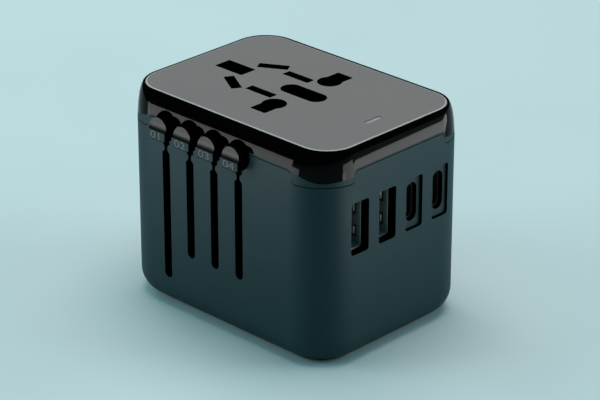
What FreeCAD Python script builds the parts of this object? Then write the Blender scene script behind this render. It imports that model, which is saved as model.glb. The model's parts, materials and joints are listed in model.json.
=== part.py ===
import FreeCAD, Part
import math
import os
import re
import Sketcher
from FreeCAD import Rotation
from FreeCAD import Vector

# Travel adapter: a box-shaped housing with a universal socket on top, four slides on its front
# that push four sets of plug pins out of its base, and four charging ports on its right side.
# Millimetres. Origin at the centre of the base, on the surface it stands on. +Z up,
# -Y is the slides' face and +X the ports' face.

# Driving dimensions: alias, value, meaning
SIZES = [
    ("body_len", 67.2, "housing, along X"),
    ("body_wid", 50.7, "housing, along Y"),
    ("body_high", 53.7, "housing, along Z"),
    ("corner_rad", 11.7, "upright corners of the housing"),
    ("foot_rad", 6.0, "rounding of the bottom edge"),
    ("shoulder_high", 9.4, "height of the rounded shoulder under the top"),
    ("rim_len", 1.5, "how far the shoulder draws in, along X"),
    ("rim_wid", 2.9, "how far the shoulder draws in, along Y"),
    ("wall", 2.0, "housing wall"),
    ("fit_gap", 0.1, "gap between pieces that are pushed together"),
    ("run_gap", 0.3, "gap round pieces that slide"),
    ("seam_drop", 5.3, "seam of the lower shell below the top"),
    ("seam_dip", 2.9, "how much lower the seam runs at the corners"),
    ("seam_gap", 0.15, "open groove of the seam"),
    ("dip_bend", 1.4, "bend of the seam into its dips"),
    ("trim_drop", 4.9, "lower edge of the glossy crown below the top"),
    ("trim_dip", 2.4, "how much lower the crown runs at the corners"),
    ("trim_dip_in", 1.8, "how far the crown's dips lie inside those of the seam"),
    ("crown_ledge", 1.5, "ledge of the crown under the top plate"),
    ("ledge_thick", 1.4, "thickness of that ledge"),
    ("plate_thick", 1.6, "top plate"),
    ("plate_bevel", 0.5, "bevel round the top plate"),
    ("skirt_thick", 1.1, "inner skirt of the upper ring"),
    ("skirt_deep", 2.4, "how far the skirt reaches below the seam's dips"),
    ("base_inset", 3.2, "edge of the base plate from the housing's side"),
    ("base_thick", 3.2, "base plate"),
    ("base_bevel", 0.6, "bevel under the base plate's edge"),
    ("screw_head_rad", 1.9, "head of a base screw"),
    ("screw_rad", 1.1, "shank of a base screw"),
    ("screw_deep", 8.0, "length of a base screw"),
    ("screw_in_x", 8.4, "base screws, from the housing's ends"),
    ("screw_in_y", 7.95, "base screws, from the housing's sides"),
    ("boss_wall", 1.5, "wall of a screw boss"),
    ("socket_place_x", 2.2, "line of the live and neutral holes, from the middle"),
    ("socket_place_y", 0.2, "middle of that line"),
    ("earth_step", 22.23, "earth hole from the line of the other two"),
    ("earth_slot_long", 8.94, "earth hole, along X"),
    ("earth_slot_wide", 4.84, "earth hole, along Y"),
    ("pole_out", 14.83, "outer end of a live or neutral hole"),
    ("pole_wide", 4.84, "width of a live or neutral hole"),
    ("pole_round_at", 9.3, "its round part, from the middle"),
    ("pole_round_rad", 3.0, "radius of its round part"),
    ("oval_mid", 0.5, "middle oval hole, from the line"),
    ("oval_long", 13.2, "middle oval hole, along X"),
    ("oval_wide", 5.2, "middle oval hole, along Y"),
    ("tilt_at_x", 16.15, "angled slots, from the line"),
    ("tilt_at_y", 6.85, "angled slots, from the middle"),
    ("tilt_long", 7.6, "angled slot"),
    ("tilt_wide", 2.6, "angled slot"),
    ("flat_at_y", 6.22, "straight slots, from the middle"),
    ("flat_at_x", 7.3, "straight slots, from the line"),
    ("flat_long", 8.2, "straight slot"),
    ("flat_wide", 2.46, "straight slot"),
    ("led_in", 8.6, "indicator window, from the housing's end"),
    ("led_long", 5.2, "indicator window"),
    ("led_wide", 1.3, "indicator window"),
    ("slide_first", -17.35, "first slide, from the middle"),
    ("slide_pitch", 8.0, "step between slides"),
    ("slot_wide", 2.5, "slide slot"),
    ("slot_spare_first", 0.6, "first slot, below the lowest place of its knob's stem"),
    ("slot_spare", 0.4, "the same on the other slots"),
    ("knob_drop", 6.5, "middle of a knob in its upper place, below the top"),
    ("recess_rad", 3.6, "round opening behind a knob"),
    ("throat_drop", 4.6, "throat of a slot below the knob's middle"),
    ("nub_rad", 1.0, "rounded nubs that form the throat"),
    ("throat_wide", 1.3, "opening between the nubs"),
    ("knob_rad", 2.8, "knob, round upper half"),
    ("knob_below", 3.1, "knob, from its middle to its lower edge"),
    ("knob_out", 3.1, "front of a knob before the wall"),
    ("knob_clear", 0.95, "back of a knob before the wall"),
    ("cap_thick", 0.9, "front plate of a knob"),
    ("scoop_deep", 0.75, "thumb scoop in the front plate"),
    ("stem_wide", 0.9, "stem of a knob, across the slot"),
    ("stem_up", 2.2, "stem above the knob's middle"),
    ("stem_down", 6.6, "stem below the knob's middle"),
    ("head_wide", 2.6, "head of the stem in its carriage"),
    ("head_thick", 0.8, "that head"),
    ("head_high", 5.0, "that head"),
    ("press", 0.8, "travel of a knob when pressed"),
    ("spring_rad", 1.2, "spring behind a knob"),
    ("travel_first", 32.0, "travel of the first slide"),
    ("travel", 24.5, "travel of the other slides"),
    ("leg_front", 3.45, "front of a carriage leg, from the housing's side"),
    ("leg_thick", 3.6, "carriage leg"),
    ("leg_wide", 5.4, "carriage leg"),
    ("leg_lip", 0.6, "lip that keeps the knob's head in the leg"),
    ("deck_thick", 2.2, "pin deck of a carriage"),
    ("deck_first_thick", 3.0, "pin deck of the first carriage"),
    ("round_pin_rad", 2.0, "round pin"),
    ("round_pin_out", 19.0, "round pin beyond the base"),
    ("round_pin_step", 19.0, "round pins, middle to middle"),
    ("round_pin_in", 6.3, "line of the round pins, from the housing's end"),
    ("round_deck_rim", 0.6, "deck round a round pin"),
    ("round_pin_tip", 1.0, "bevel at its tip"),
    ("block_round", 0.8, "corners of the rectangular pins"),
    ("blade_tip", 0.4, "bevel at the tip of a flat blade"),
    ("blade_long", 6.35, "flat blade, along its width"),
    ("blade_thick", 1.5, "flat blade"),
    ("blade_step", 12.7, "straight blades, middle to middle"),
    ("blade_out", 17.5, "straight blade beyond the base"),
    ("tilt_blade_step", 13.7, "angled blades, middle to middle"),
    ("tilt_blade_out", 17.1, "angled blade beyond the base"),
    ("tilt_angle", 30.0, "turn of the angled blades"),
    ("block_pin_wide", 6.35, "rectangular pin, along Y"),
    ("block_pin_thick", 3.97, "rectangular pin"),
    ("block_pin_step", 22.2, "rectangular pins, middle to middle"),
    ("block_pin_out", 17.7, "rectangular pin beyond the base"),
    ("earth_pin_long", 7.97, "earth pin, along X"),
    ("earth_pin_out", 22.7, "earth pin beyond the base"),
    ("pin_hold", 2.0, "how far a pin stands in its deck"),
    ("port_pitch", 9.05, "step between ports"),
    ("port_mid", 0.3, "middle of the row of ports"),
    ("port_drop", 19.7, "middle of a port below the top"),
    ("port_wide", 5.65, "port window, along Y"),
    ("port_tall", 13.0, "port window, along Z"),
    ("frame_thick", 2.0, "frame behind the port windows"),
    ("jack_back", 2.5, "mouth of a wide port behind the side"),
    ("jack_wide", 5.72, "wide port shell, along Y"),
    ("jack_tall", 13.1, "wide port shell, along Z"),
    ("jack_long", 13.6, "wide port shell, along X"),
    ("sheet", 0.3, "sheet metal of the port shells"),
    ("tongue_thick", 1.9, "tongue of a wide port"),
    ("insert_back", 0.95, "insert round a slim port, behind the side"),
    ("slim_hole_wide", 3.56, "opening in that insert"),
    ("slim_hole_tall", 9.68, "opening in that insert"),
    ("slim_wide", 3.16, "slim port shell, along Y"),
    ("slim_tall", 8.94, "slim port shell, along Z"),
    ("slim_long", 9.0, "slim port shell, along X"),
    ("slim_tongue", 0.7, "tongue of a slim port"),
    ("board_thick", 1.6, "circuit boards"),
    ("power_board_high", 6.6, "underside of the power board"),
    ("core_gap", 0.4, "socket core, from the deck of the round pins"),
    ("core_edge", 0.3, "socket core, beyond the middle oval hole"),
    ("core_clear", 1.1, "socket core, from the carriage legs"),
    ("core_lift", 0.8, "socket core, above the pin decks"),
    ("strip_thick", 0.8, "contact strips"),
    ("shutter_drop", 8.7, "underside of the shutter, below the top"),
    ("shutter_thick", 1.8, "shutter"),
    ("shutter_travel", 5.4, "travel of the shutter"),
]

NAMES = set(alias for alias, value, meaning in SIZES)
doc = FreeCAD.newDocument("travel_adapter")
size = doc.addObject("Spreadsheet::Sheet", "size")
for line, (alias, value, meaning) in enumerate(SIZES, start=1):
    size.set("A%d" % line, meaning)
    size.set("B%d" % line, str(value))
    size.setAlias("B%d" % line, alias)
work = doc.addObject("Spreadsheet::Sheet", "work")
doc.recompute()

ON_TOP = "body_high + 1"
SIDES = (1, -1)
pieces = {}

# Places that follow from the sizes
DECK_LOW = "(base_thick + 0.2)"
PLACES = {
    "screw_at_x": "(body_len / 2 - screw_in_x)",
    "screw_at_y": "(body_wid / 2 - screw_in_y)",
    "knob_high": "(body_high - knob_drop)",
    "throat_high": "(body_high - knob_drop - throat_drop)",
    "slot_low_first": "(body_high - knob_drop - travel_first - stem_down - slot_spare_first)",
    "slot_low": "(body_high - knob_drop - travel - stem_down - slot_spare)",
    "round_pin_x": "(round_pin_in - body_len / 2)",
    "port_high": "(body_high - port_drop)",
    "core_left": "(round_pin_in - body_len / 2 + round_pin_rad + round_deck_rim + core_gap)",
    "core_right": "(socket_place_x + oval_mid + oval_long / 2 + core_edge)",
    "core_half": "(body_wid / 2 - leg_front - leg_thick - core_clear)",
    "core_low": "(%s + travel + deck_thick + core_lift)" % DECK_LOW,
    "shutter_high": "(body_high - shutter_drop)",
}


def ex(text):
    """Write an expression on the sheet's aliases and the named places as the document wants it."""
    text = re.sub(r"[a-z_]+", lambda word: PLACES.get(word.group(0), word.group(0)), text)
    return re.sub(r"[a-z_]+", lambda word: "size." + word.group(0) if word.group(0) in NAMES else word.group(0), text)


def measure(text):
    """The value of an expression, worked out in a sheet of its own."""
    work.set("A1", "=" + ex(text))
    work.recompute()
    return float(work.get("A1"))


def bind(item, prop, text):
    item.setExpression(prop, ex(text))


def keep(item, node):
    """Give a finished sub-part its node name."""
    item.Label = node
    pieces[node] = item
    return item


def block(name, along_x, along_y, along_z):
    """A box between two expressions on each axis."""
    item = doc.addObject("Part::Box", name)
    for axis, prop, span in (("x", "Length", along_x), ("y", "Width", along_y), ("z", "Height", along_z)):
        bind(item, "Placement.Base." + axis, span[0])
        bind(item, prop, "(%s) - (%s)" % (span[1], span[0]))
    return item


TURNS = {"x": Rotation(Vector(0, 1, 0), 90), "y": Rotation(Vector(1, 0, 0), -90), "z": Rotation()}


def rod(name, axis, start, radius, length):
    """A cylinder from a start point along an axis."""
    item = doc.addObject("Part::Cylinder", name)
    item.Placement = FreeCAD.Placement(Vector(), TURNS[axis])
    for letter, text in zip("xyz", start):
        bind(item, "Placement.Base." + letter, text)
    bind(item, "Radius", radius)
    bind(item, "Height", length)
    return item


def prism(name, sides, start, radius, length, axis="z"):
    """A bar with flat sides from a start point along an axis."""
    item = doc.addObject("Part::Prism", name)
    item.Placement = FreeCAD.Placement(Vector(), TURNS[axis])
    item.Polygon = sides
    for letter, text in zip("xyz", start):
        bind(item, "Placement.Base." + letter, text)
    bind(item, "Circumradius", radius)
    bind(item, "Height", length)
    return item


def join(name, items):
    if len(items) == 1:
        return items[0]
    item = doc.addObject("Part::MultiFuse", name)
    item.Shapes = items
    return item


def cut(name, base, tools):
    item = doc.addObject("Part::Cut", name)
    item.Base = base
    item.Tool = join(name + "_tools", tools)
    return item


def common(name, base, tool):
    item = doc.addObject("Part::Common", name)
    item.Base = base
    item.Tool = tool
    return item


def plane_of(body, role):
    return next(item for item in body.Origin.OriginFeatures if item.Role == role)


def sketch_on(body, name, role, centre, height):
    """A sketch on an origin plane, moved to a centre in the plane and a height above it."""
    sketch = body.newObject("Sketcher::SketchObject", name)
    sketch.AttachmentSupport = (plane_of(body, role), "")
    sketch.MapMode = "FlatFace"
    for letter, text in zip("xyz", (centre[0], centre[1], height)):
        bind(sketch, "AttachmentOffset.Base." + letter, text)
    return sketch


def sized(sketch, kind, places, name, text):
    """A named constraint that follows the sheet."""
    index = sketch.addConstraint(Sketcher.Constraint(kind, *places))
    sketch.renameConstraint(index, name)
    bind(sketch, "Constraints." + name, text)


def draw_oblong(sketch, wide, tall, corner):
    """A rectangle with round corners about the sketch's origin."""
    half_w, half_t, round_off = measure(wide) / 2, measure(tall) / 2, measure(corner)
    in_w, in_t = half_w - round_off, half_t - round_off
    ends = [((-in_w, -half_t), (in_w, -half_t)), ((half_w, -in_t), (half_w, in_t)),
            ((in_w, half_t), (-in_w, half_t)), ((-half_w, in_t), (-half_w, -in_t))]
    for start, end in ends:
        sketch.addGeometry(Part.LineSegment(Vector(*start, 0), Vector(*end, 0)))
    middles = [(in_w, -in_t), (in_w, in_t), (-in_w, in_t), (-in_w, -in_t)]
    for turn, middle in enumerate(middles):
        ring = Part.Circle(Vector(*middle, 0), Vector(0, 0, 1), round_off)
        begin = (turn - 1) * math.pi / 2
        sketch.addGeometry(Part.ArcOfCircle(ring, begin, begin + math.pi / 2))
    for side in range(4):
        sketch.addConstraint(Sketcher.Constraint("Tangent", side, 2, 4 + side, 1))
        sketch.addConstraint(Sketcher.Constraint("Tangent", 4 + side, 2, (side + 1) % 4, 1))
    for side, kind in enumerate(("Horizontal", "Vertical")):
        sketch.addConstraint(Sketcher.Constraint(kind, side))
    for side in range(1, 4):
        sketch.addConstraint(Sketcher.Constraint("Equal", 4, 4 + side))
    sketch.addConstraint(Sketcher.Constraint("Symmetric", 4, 3, 6, 3, -1, 1))
    sized(sketch, "DistanceX", (3, 1, 1, 1, 2 * half_w), "wide", wide)
    sized(sketch, "DistanceY", (0, 1, 2, 2, 2 * half_t), "tall", tall)
    sized(sketch, "Radius", (4, round_off), "corner", corner)


def draw_plain(sketch, wide, tall):
    """A rectangle with sharp corners about the sketch's origin."""
    half_w, half_t = measure(wide) / 2, measure(tall) / 2
    corners = [(-half_w, -half_t), (half_w, -half_t), (half_w, half_t), (-half_w, half_t)]
    for begin, end in zip(corners, corners[1:] + corners[:1]):
        sketch.addGeometry(Part.LineSegment(Vector(*begin, 0), Vector(*end, 0)))
    for side in range(4):
        sketch.addConstraint(Sketcher.Constraint("Coincident", side, 2, (side + 1) % 4, 1))
        sketch.addConstraint(Sketcher.Constraint("Vertical" if side % 2 else "Horizontal", side))
    sketch.addConstraint(Sketcher.Constraint("Symmetric", 0, 1, 2, 1, -1, 1))
    sized(sketch, "DistanceX", (0, 1, 0, 2, 2 * half_w), "wide", wide)
    sized(sketch, "DistanceY", (1, 1, 1, 2, 2 * half_t), "tall", tall)


def draw_ring(sketch, radius):
    start = measure(radius)
    sketch.addGeometry(Part.Circle(Vector(), Vector(0, 0, 1), start))
    sketch.addConstraint(Sketcher.Constraint("Coincident", 0, 3, -1, 1))
    sized(sketch, "Radius", (0, start), "round", radius)


def pad(body, sketch, length, kind="PartDesign::Pad"):
    """Raise or sink a sketch and make it the body's tip."""
    feature = body.newObject(kind, sketch.Name + "_solid")
    feature.Profile = sketch
    bind(feature, "Length", length)
    body.Tip = feature
    sketch.Visibility = False
    return feature


def oblong_body(name, wide, tall, corner, low, length, role="XY_Plane", centre=("0", "0")):
    """A body that starts as a padded rectangle, with round corners where a radius is given."""
    body = doc.addObject("PartDesign::Body", name)
    sketch = sketch_on(body, name + "_outline", role, centre, low)
    if corner:
        draw_oblong(sketch, wide, tall, corner)
    else:
        draw_plain(sketch, wide, tall)
    pad(body, sketch, length)
    return body


def edges_where(shape, test):
    """Names of the edges whose box passes a test."""
    return ["Edge%d" % number for number, edge in enumerate(shape.Edges, start=1) if test(edge.BoundBox)]


def dress(body, kind, prop, text, test):
    """Round or bevel the edges that a test picks."""
    doc.recompute()
    base = body.Tip
    feature = body.newObject(kind, body.Name + "_" + kind.split("::")[1].lower())
    feature.Base = (base, edges_where(base.Shape, test))
    bind(feature, prop, text)
    body.Tip = feature
    return feature


def flat_at(height):
    return lambda box: abs(box.ZMin - height) < 1e-4 and abs(box.ZMax - height) < 1e-4


def slide_x(number):
    return "slide_first + %d * slide_pitch" % number


# Outer form: straight sides, a rounded foot, and a shoulder that draws in to the top plate
SHOULDER_BANDS = 6
FOOT_BANDS = 5


def quarter_turn(bands):
    """How far a quarter of an arc has drawn in and climbed, from its upright end to its level end."""
    for number in range(bands + 1):
        angle = math.pi / 2 * number / bands
        yield 1 - math.cos(angle), math.sin(angle)


def loft_bands(body, name, draw_len, draw_wid, heights):
    """Straight bands through oblong rings. Each ring draws in by a share of both lengths."""
    rings = []
    for number, (draw, height) in enumerate(heights):
        ring = sketch_on(body, "%s_%d" % (name, number), "XY_Plane", ("0", "0"), height)
        draw_oblong(ring, "body_len - 2 * %s * %.4f" % (draw_len, draw), "body_wid - 2 * %s * %.4f" % (draw_wid, draw),
                    "corner_rad - (%s + %s) / 2 * %.4f" % (draw_len, draw_wid, draw))
        ring.Visibility = False
        rings.append(ring)
    loft = body.newObject("PartDesign::AdditiveLoft", name)
    loft.Profile = rings[0]
    loft.Sections = rings[1:]
    loft.Ruled = True
    body.Tip = loft


def outer_form():
    body = oblong_body("outer_form", "body_len", "body_wid", "corner_rad", "foot_rad",
                       "body_high - shoulder_high - foot_rad")
    loft_bands(body, "shoulder", "rim_len", "rim_wid",
               [(draw, "body_high - shoulder_high * %.4f" % (1 - climb)) for draw, climb in quarter_turn(SHOULDER_BANDS)])
    loft_bands(body, "foot", "foot_rad", "foot_rad",
               [(draw, "foot_rad * %.4f" % (1 - climb)) for draw, climb in quarter_turn(FOOT_BANDS)])
    return body


# Chords in each bend of the seam
BEND_CHORDS = 3


def dip_zone(name, drop, dip, inside=0.0):
    """All that lies above a seam: level on the sides, lower at the four corners, in S-shaped bends."""
    level = size.body_high - drop
    bend = min(size.dip_bend, dip / 2)
    reach_x, reach_y = size.body_len / 2 + 1, size.body_wid / 2 + 1
    top = size.body_high + 1
    start_x = size.body_len / 2 - size.corner_rad + bend + inside
    start_y = size.body_wid / 2 - size.corner_rad + bend + inside

    def side_profile(start, reach, to_point):
        points = []
        for draw, climb in quarter_turn(BEND_CHORDS):
            points.append((start - bend * (1 - climb), level - bend * draw))
        for draw, climb in quarter_turn(BEND_CHORDS):
            points.append((start + bend * draw, level - dip + bend * (1 - climb)))
        points += [(reach, level - dip), (reach, top), (start - bend, top)]
        if dip <= 2 * bend + 1e-6:
            del points[BEND_CHORDS]
        corners = [to_point(point) for point in points]
        return Part.Face(Part.makePolygon(corners + corners[:1]))

    along_y = Vector(0, 2 * reach_y, 0)
    along_x = Vector(2 * reach_x, 0, 0)
    zone = Part.makeBox(2 * reach_x, 2 * reach_y, top - level, Vector(-reach_x, -reach_y, level))
    for side_x in SIDES:
        front = side_profile(start_x, reach_x, lambda p: Vector(side_x * p[0], -reach_y, p[1])).extrude(along_y)
        for side_y in SIDES:
            flank = side_profile(start_y, reach_y, lambda p: Vector(-reach_x, side_y * p[0], p[1])).extrude(along_x)
            zone = zone.fuse(front.common(flank))
    item = doc.addObject("Part::Feature", name)
    item.Shape = zone.removeSplitter()
    return item


def inset_oblong(name, inset_len, inset_wid, low, high):
    """A straight-sided form inside the housing, its corners following the outer ones."""
    return oblong_body(name, "body_len - 2 * (%s)" % inset_len, "body_wid - 2 * (%s)" % inset_wid,
                       "corner_rad - ((%s) + (%s)) / 2" % (inset_len, inset_wid), low, "(%s) - (%s)" % (high, low))


def slide_opening(number):
    """The round opening, throat and slot of one slide, cut through the wall."""
    at = slide_x(number)
    low = "slot_low_first" if number == 0 else "slot_low"
    name = "opening_%d" % (number + 1)
    deep = "skirt_thick + wall + 2"
    front = "-body_wid / 2 - 1"
    tail = "%s + slot_wide / 2" % low
    parts = [rod(name + "_round", "y", (at, front, "knob_high"), "recess_rad", deep),
             rod(name + "_end", "y", (at, front, tail), "slot_wide / 2", deep),
             block(name + "_slot", ("%s - slot_wide / 2" % at, "%s + slot_wide / 2" % at),
                   (front, "%s + %s" % (front, deep)), (tail, "knob_high"))]
    nubs = [rod(name + "_nub_%d" % side, "y", ("%s + %d * (throat_wide / 2 + nub_rad)" % (at, side), front,
                                               "throat_high"), "nub_rad", deep) for side in SIDES]
    return cut(name, join(name + "_space", parts), nubs)


def port_y(number):
    return "port_mid + %.1f * port_pitch" % (number - 1.5)


def port_windows(name, wide, tall, corner, start, length, numbers=(0, 1, 2, 3)):
    """Openings for the ports, along X. The YZ plane's sketch runs along Y and Z."""
    return [oblong_body("%s_%d" % (name, number), wide, tall, corner, start, length, "YZ_Plane",
                        (port_y(number), "port_high")) for number in numbers]


# Housing
form = outer_form()
seam_zone = dip_zone("seam_zone", size.seam_drop, size.seam_dip)
seam_groove = dip_zone("seam_groove", size.seam_drop + size.seam_gap, size.seam_dip)
trim_zone = dip_zone("trim_zone", size.trim_drop, size.trim_dip, size.trim_dip_in)
openings = [slide_opening(number) for number in range(4)]

cavity = inset_oblong("cavity", "wall", "wall", "wall", ON_TOP)
dress(cavity, "PartDesign::Chamfer", "Size", "(foot_rad - wall) * 0.6", flat_at(size.wall))
base_window = inset_oblong("base_window", "base_inset", "base_inset", "-1", "base_thick + 0.3")
windows = port_windows("port_window", "port_wide", "port_tall", "", "body_len / 2 - wall - 1", "wall + 2")

# Three base screws: the first slide's carriage fills the fourth corner
SCREWS = ((1, 1), (1, -1), (-1, 1))


def at_screws(name, radius, low, length, sides=0):
    """A bar at each screw: round, or with a number of flat sides."""
    bars = []
    for number, (side_x, side_y) in enumerate(SCREWS, start=1):
        label, start = "%s_%d" % (name, number), ("%d * screw_at_x" % side_x, "%d * screw_at_y" % side_y, low)
        bars.append(prism(label, sides, start, radius, length) if sides else rod(label, "z", start, radius, length))
    return bars


def boss_webs():
    """Webs that tie each screw boss to the walls beside it."""
    webs = []
    high = ("base_thick", "base_thick + screw_deep")
    for number, (side_x, side_y) in enumerate(SCREWS, start=1):
        wall_x = sorted(("%d * screw_at_x" % side_x, "%d * (body_len / 2 - wall / 2)" % side_x), key=measure)
        wall_y = sorted(("%d * screw_at_y" % side_y, "%d * (body_wid / 2 - wall / 2)" % side_y), key=measure)
        webs.append(block("web_x_%d" % number, wall_x, ("%d * screw_at_y - 0.6" % side_y,
                                                        "%d * screw_at_y + 0.6" % side_y), high))
        webs.append(block("web_y_%d" % number, ("%d * screw_at_x - 0.6" % side_x, "%d * screw_at_x + 0.6" % side_x),
                          wall_y, high))
    return webs


bosses = at_screws("boss", "screw_rad + boss_wall", "base_thick", "screw_deep", 8) + boss_webs()
bosses = common("bosses_trimmed", join("bosses_solid", bosses), form)
walls = cut("lower_shell_walls", cut("lower_shell_outside", form, [seam_groove]), [cavity, base_window])
shell = cut("lower_shell_form", join("lower_shell_solid", [walls, bosses]),
            openings + windows + at_screws("boss_bore", "screw_rad", "0", "base_thick + screw_deep - 0.8", 8))
keep(shell, "lower_shell")

SKIRT_LOW = "body_high - seam_drop - seam_dip - skirt_deep"
LEDGE_LOW = "body_high - plate_thick - ledge_thick"
SKIRT_OUT = "wall + fit_gap"
SKIRT_IN = "wall + fit_gap + skirt_thick"
skirt = inset_oblong("skirt", SKIRT_OUT, SKIRT_OUT, SKIRT_LOW, LEDGE_LOW + " - fit_gap")
skirt_bore = inset_oblong("skirt_bore", SKIRT_IN, SKIRT_IN, SKIRT_LOW + " - 1", ON_TOP)
strip = cut("ring_strip", common("ring_band", form, seam_zone), [trim_zone])

# Between the slide openings the crown itself runs down to the seam
SLIDES_X = (slide_x(0), slide_x(3))
slides_gap = block("slides_gap", SLIDES_X, ("-body_wid / 2 - 1", "-body_wid / 2 + wall + skirt_thick + 1"),
                   (SKIRT_LOW + " - 1", "body_high - plate_thick"))
slides_band = block("slides_band", SLIDES_X, ("-body_wid / 2 - 1", "-body_wid / 2 + wall"),
                    ("body_high - seam_drop", "body_high - trim_drop + 0.5"))
ring = cut("upper_ring_form", join("upper_ring_solid", [strip, skirt]), [skirt_bore, slides_gap] + openings)
keep(ring, "upper_ring")

crown_bore = inset_oblong("crown_bore", "wall", "wall", "body_high - seam_drop - seam_dip - 1", LEDGE_LOW)
ledge_bore = inset_oblong("ledge_bore", "rim_len + crown_ledge", "rim_wid + crown_ledge", LEDGE_LOW + " - 1", ON_TOP)
plate_bed = inset_oblong("plate_bed", "rim_len", "rim_wid", "body_high - plate_thick", ON_TOP)
crown_zone = join("crown_zone", [trim_zone, slides_band])
crown = cut("crown_form", common("crown_band", form, crown_zone), [crown_bore, ledge_bore, plate_bed] + openings)
keep(crown, "crown")

# Base plate and its screws
plate_base = inset_oblong("base_tread", "base_inset + fit_gap", "base_inset + fit_gap", "0", "base_thick")
dress(plate_base, "PartDesign::Chamfer", "Size", "base_bevel", flat_at(0.0))
HEAD_LOW = "0.4"
HEAD_THICK = "1.3"
heads = at_screws("screw_head", "screw_head_rad", HEAD_LOW, HEAD_THICK)
shanks = at_screws("screw_shank", "screw_rad", "%s + %s" % (HEAD_LOW, HEAD_THICK), "screw_deep", 8)
drives = at_screws("screw_drive", "screw_rad * 0.8", "0", "1.1", 6)
keep(cut("base_screws_form", join("base_screws_solid", heads + shanks), drives), "base_screws")
head_beds = at_screws("screw_bed", "screw_head_rad + fit_gap", "-1", "1 + %s + %s" % (HEAD_LOW, HEAD_THICK))
shank_bores = at_screws("screw_bore", "screw_rad", "0", "base_thick + 1", 8)


# Places of the pins in the plan: name, centre and half sizes as expressions
def pin_list():
    round_y = "round_pin_step / 2"
    block_y = "block_pin_step / 2"
    straight_y = "blade_step / 2"
    tilt_y = "tilt_blade_step / 2"
    earth_x = "%s - earth_step" % slide_x(3)
    return [
        ("pin_c_1", "round", "round_pin_x", "-" + round_y, 0, "round_pin_out", 0),
        ("pin_c_2", "round", "round_pin_x", round_y, 0, "round_pin_out", 0),
        ("blade_i_1", "blade", slide_x(1), "-" + tilt_y, -1, "tilt_blade_out", 1),
        ("blade_i_2", "blade", slide_x(1), tilt_y, 1, "tilt_blade_out", 1),
        ("blade_a_1", "blade", slide_x(2), "-" + straight_y, 0, "blade_out", 2),
        ("blade_a_2", "blade", slide_x(2), straight_y, 0, "blade_out", 2),
        ("pin_g_1", "block", slide_x(3), "-" + block_y, 0, "block_pin_out", 3),
        ("pin_g_2", "block", slide_x(3), block_y, 0, "block_pin_out", 3),
        ("pin_g_earth", "earth", earth_x, "0", 0, "earth_pin_out", 3),
    ]


PIN_SECTION = {
    "blade": ("blade_long", "blade_thick", ""),
    "block": ("block_pin_thick", "block_pin_wide", "block_round"),
    "earth": ("earth_pin_long", "block_pin_thick", "block_round"),
}
PIN_TIP = {"round": "round_pin_tip", "blade": "blade_tip", "block": "block_round - 0.1",
           "earth": "block_round - 0.1"}


def deck_low(slide):
    return "%s + %s" % (DECK_LOW, "travel_first" if slide == 0 else "travel")


def upright(name, kind, at_x, at_y, turn, low, length, grow=None):
    """An upright prism with a pin's section, turned for the angled blades. A hole for it has sharp corners."""
    body = doc.addObject("PartDesign::Body", name)
    sketch = sketch_on(body, name + "_section", "XY_Plane", (at_x, at_y), low)
    if kind == "round":
        draw_ring(sketch, "round_pin_rad + %s" % (grow or "0"))
    else:
        wide, tall, corner = PIN_SECTION[kind]
        if grow or not corner:
            draw_plain(sketch, "%s + 2 * %s" % (wide, grow or "0"), "%s + 2 * %s" % (tall, grow or "0"))
        else:
            draw_oblong(sketch, wide, tall, corner)
    if turn:
        sketch.AttachmentOffset = FreeCAD.Placement(Vector(), Rotation(Vector(0, 0, 1), 1))
        bind(sketch, "AttachmentOffset.Rotation.Angle", "%d * tilt_angle" % turn)
    pad(body, sketch, length)
    return body


pin_holes = []
for node, kind, at_x, at_y, turn, out, slide in pin_list():
    top = "%s + pin_hold" % deck_low(slide)
    reach = "%s - (%s - %s)" % (top, "travel_first" if slide == 0 else "travel", out)
    pin = upright(node, kind, at_x, at_y, turn, "%s - %s" % ("travel_first" if slide == 0 else "travel", out), reach)
    doc.recompute()
    dress(pin, "PartDesign::Chamfer", "Size", PIN_TIP[kind], flat_at(pin.Shape.BoundBox.ZMin))
    keep(pin, node)
    pin_holes.append(upright(node + "_hole", kind, at_x, at_y, turn, "-1", "base_thick + 2", "run_gap"))

keep(cut("base_plate_form", plate_base, pin_holes + head_beds + shank_bores), "base_plate")

# Top plate with the holes of the universal socket
SOCKET = ("socket_place_x", "socket_place_y")


def socket_holes(name, low, length):
    """The socket's holes as uprights: earth, live and neutral, middle oval, angled and straight slots."""
    x0, y0 = SOCKET
    holes = {}

    def add(key, wide, tall, corner, at_x, at_y, turn=0):
        body = doc.addObject("PartDesign::Body", "%s_%s" % (name, key))
        sketch = sketch_on(body, "%s_%s_outline" % (name, key), "XY_Plane", (at_x, at_y), low)
        if corner:
            draw_oblong(sketch, wide, tall, corner)
        else:
            draw_plain(sketch, wide, tall)
        if turn:
            sketch.AttachmentOffset = FreeCAD.Placement(Vector(), Rotation(Vector(0, 0, 1), 1))
            bind(sketch, "AttachmentOffset.Rotation.Angle", "%d * tilt_angle" % turn)
        pad(body, sketch, length)
        holes[key] = body

    add("earth", "earth_slot_long", "earth_slot_wide", "", x0 + " - earth_step", y0)
    add("oval", "oval_long", "oval_wide", "oval_wide / 2 - 0.01", x0 + " + oval_mid", y0)
    for number, side in enumerate(SIDES, start=1):
        mid = "%s + %d * (pole_out + pole_round_at) / 2" % (y0, side)
        add("pole_%d" % number, "pole_wide", "pole_out - pole_round_at", "", x0, mid)
        holes["pole_round_%d" % number] = rod("%s_pole_round_%d" % (name, number), "z",
                                              (x0, "%s + %d * pole_round_at" % (y0, side), low),
                                              "pole_round_rad", length)
        add("tilt_%d" % number, "tilt_long", "tilt_wide", "", x0 + " - tilt_at_x",
            "%s + %d * tilt_at_y" % (y0, side), side)
        add("flat_%d" % number, "flat_long", "flat_wide", "", x0 + " - flat_at_x",
            "%s + %d * flat_at_y" % (y0, side))
    return holes


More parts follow.
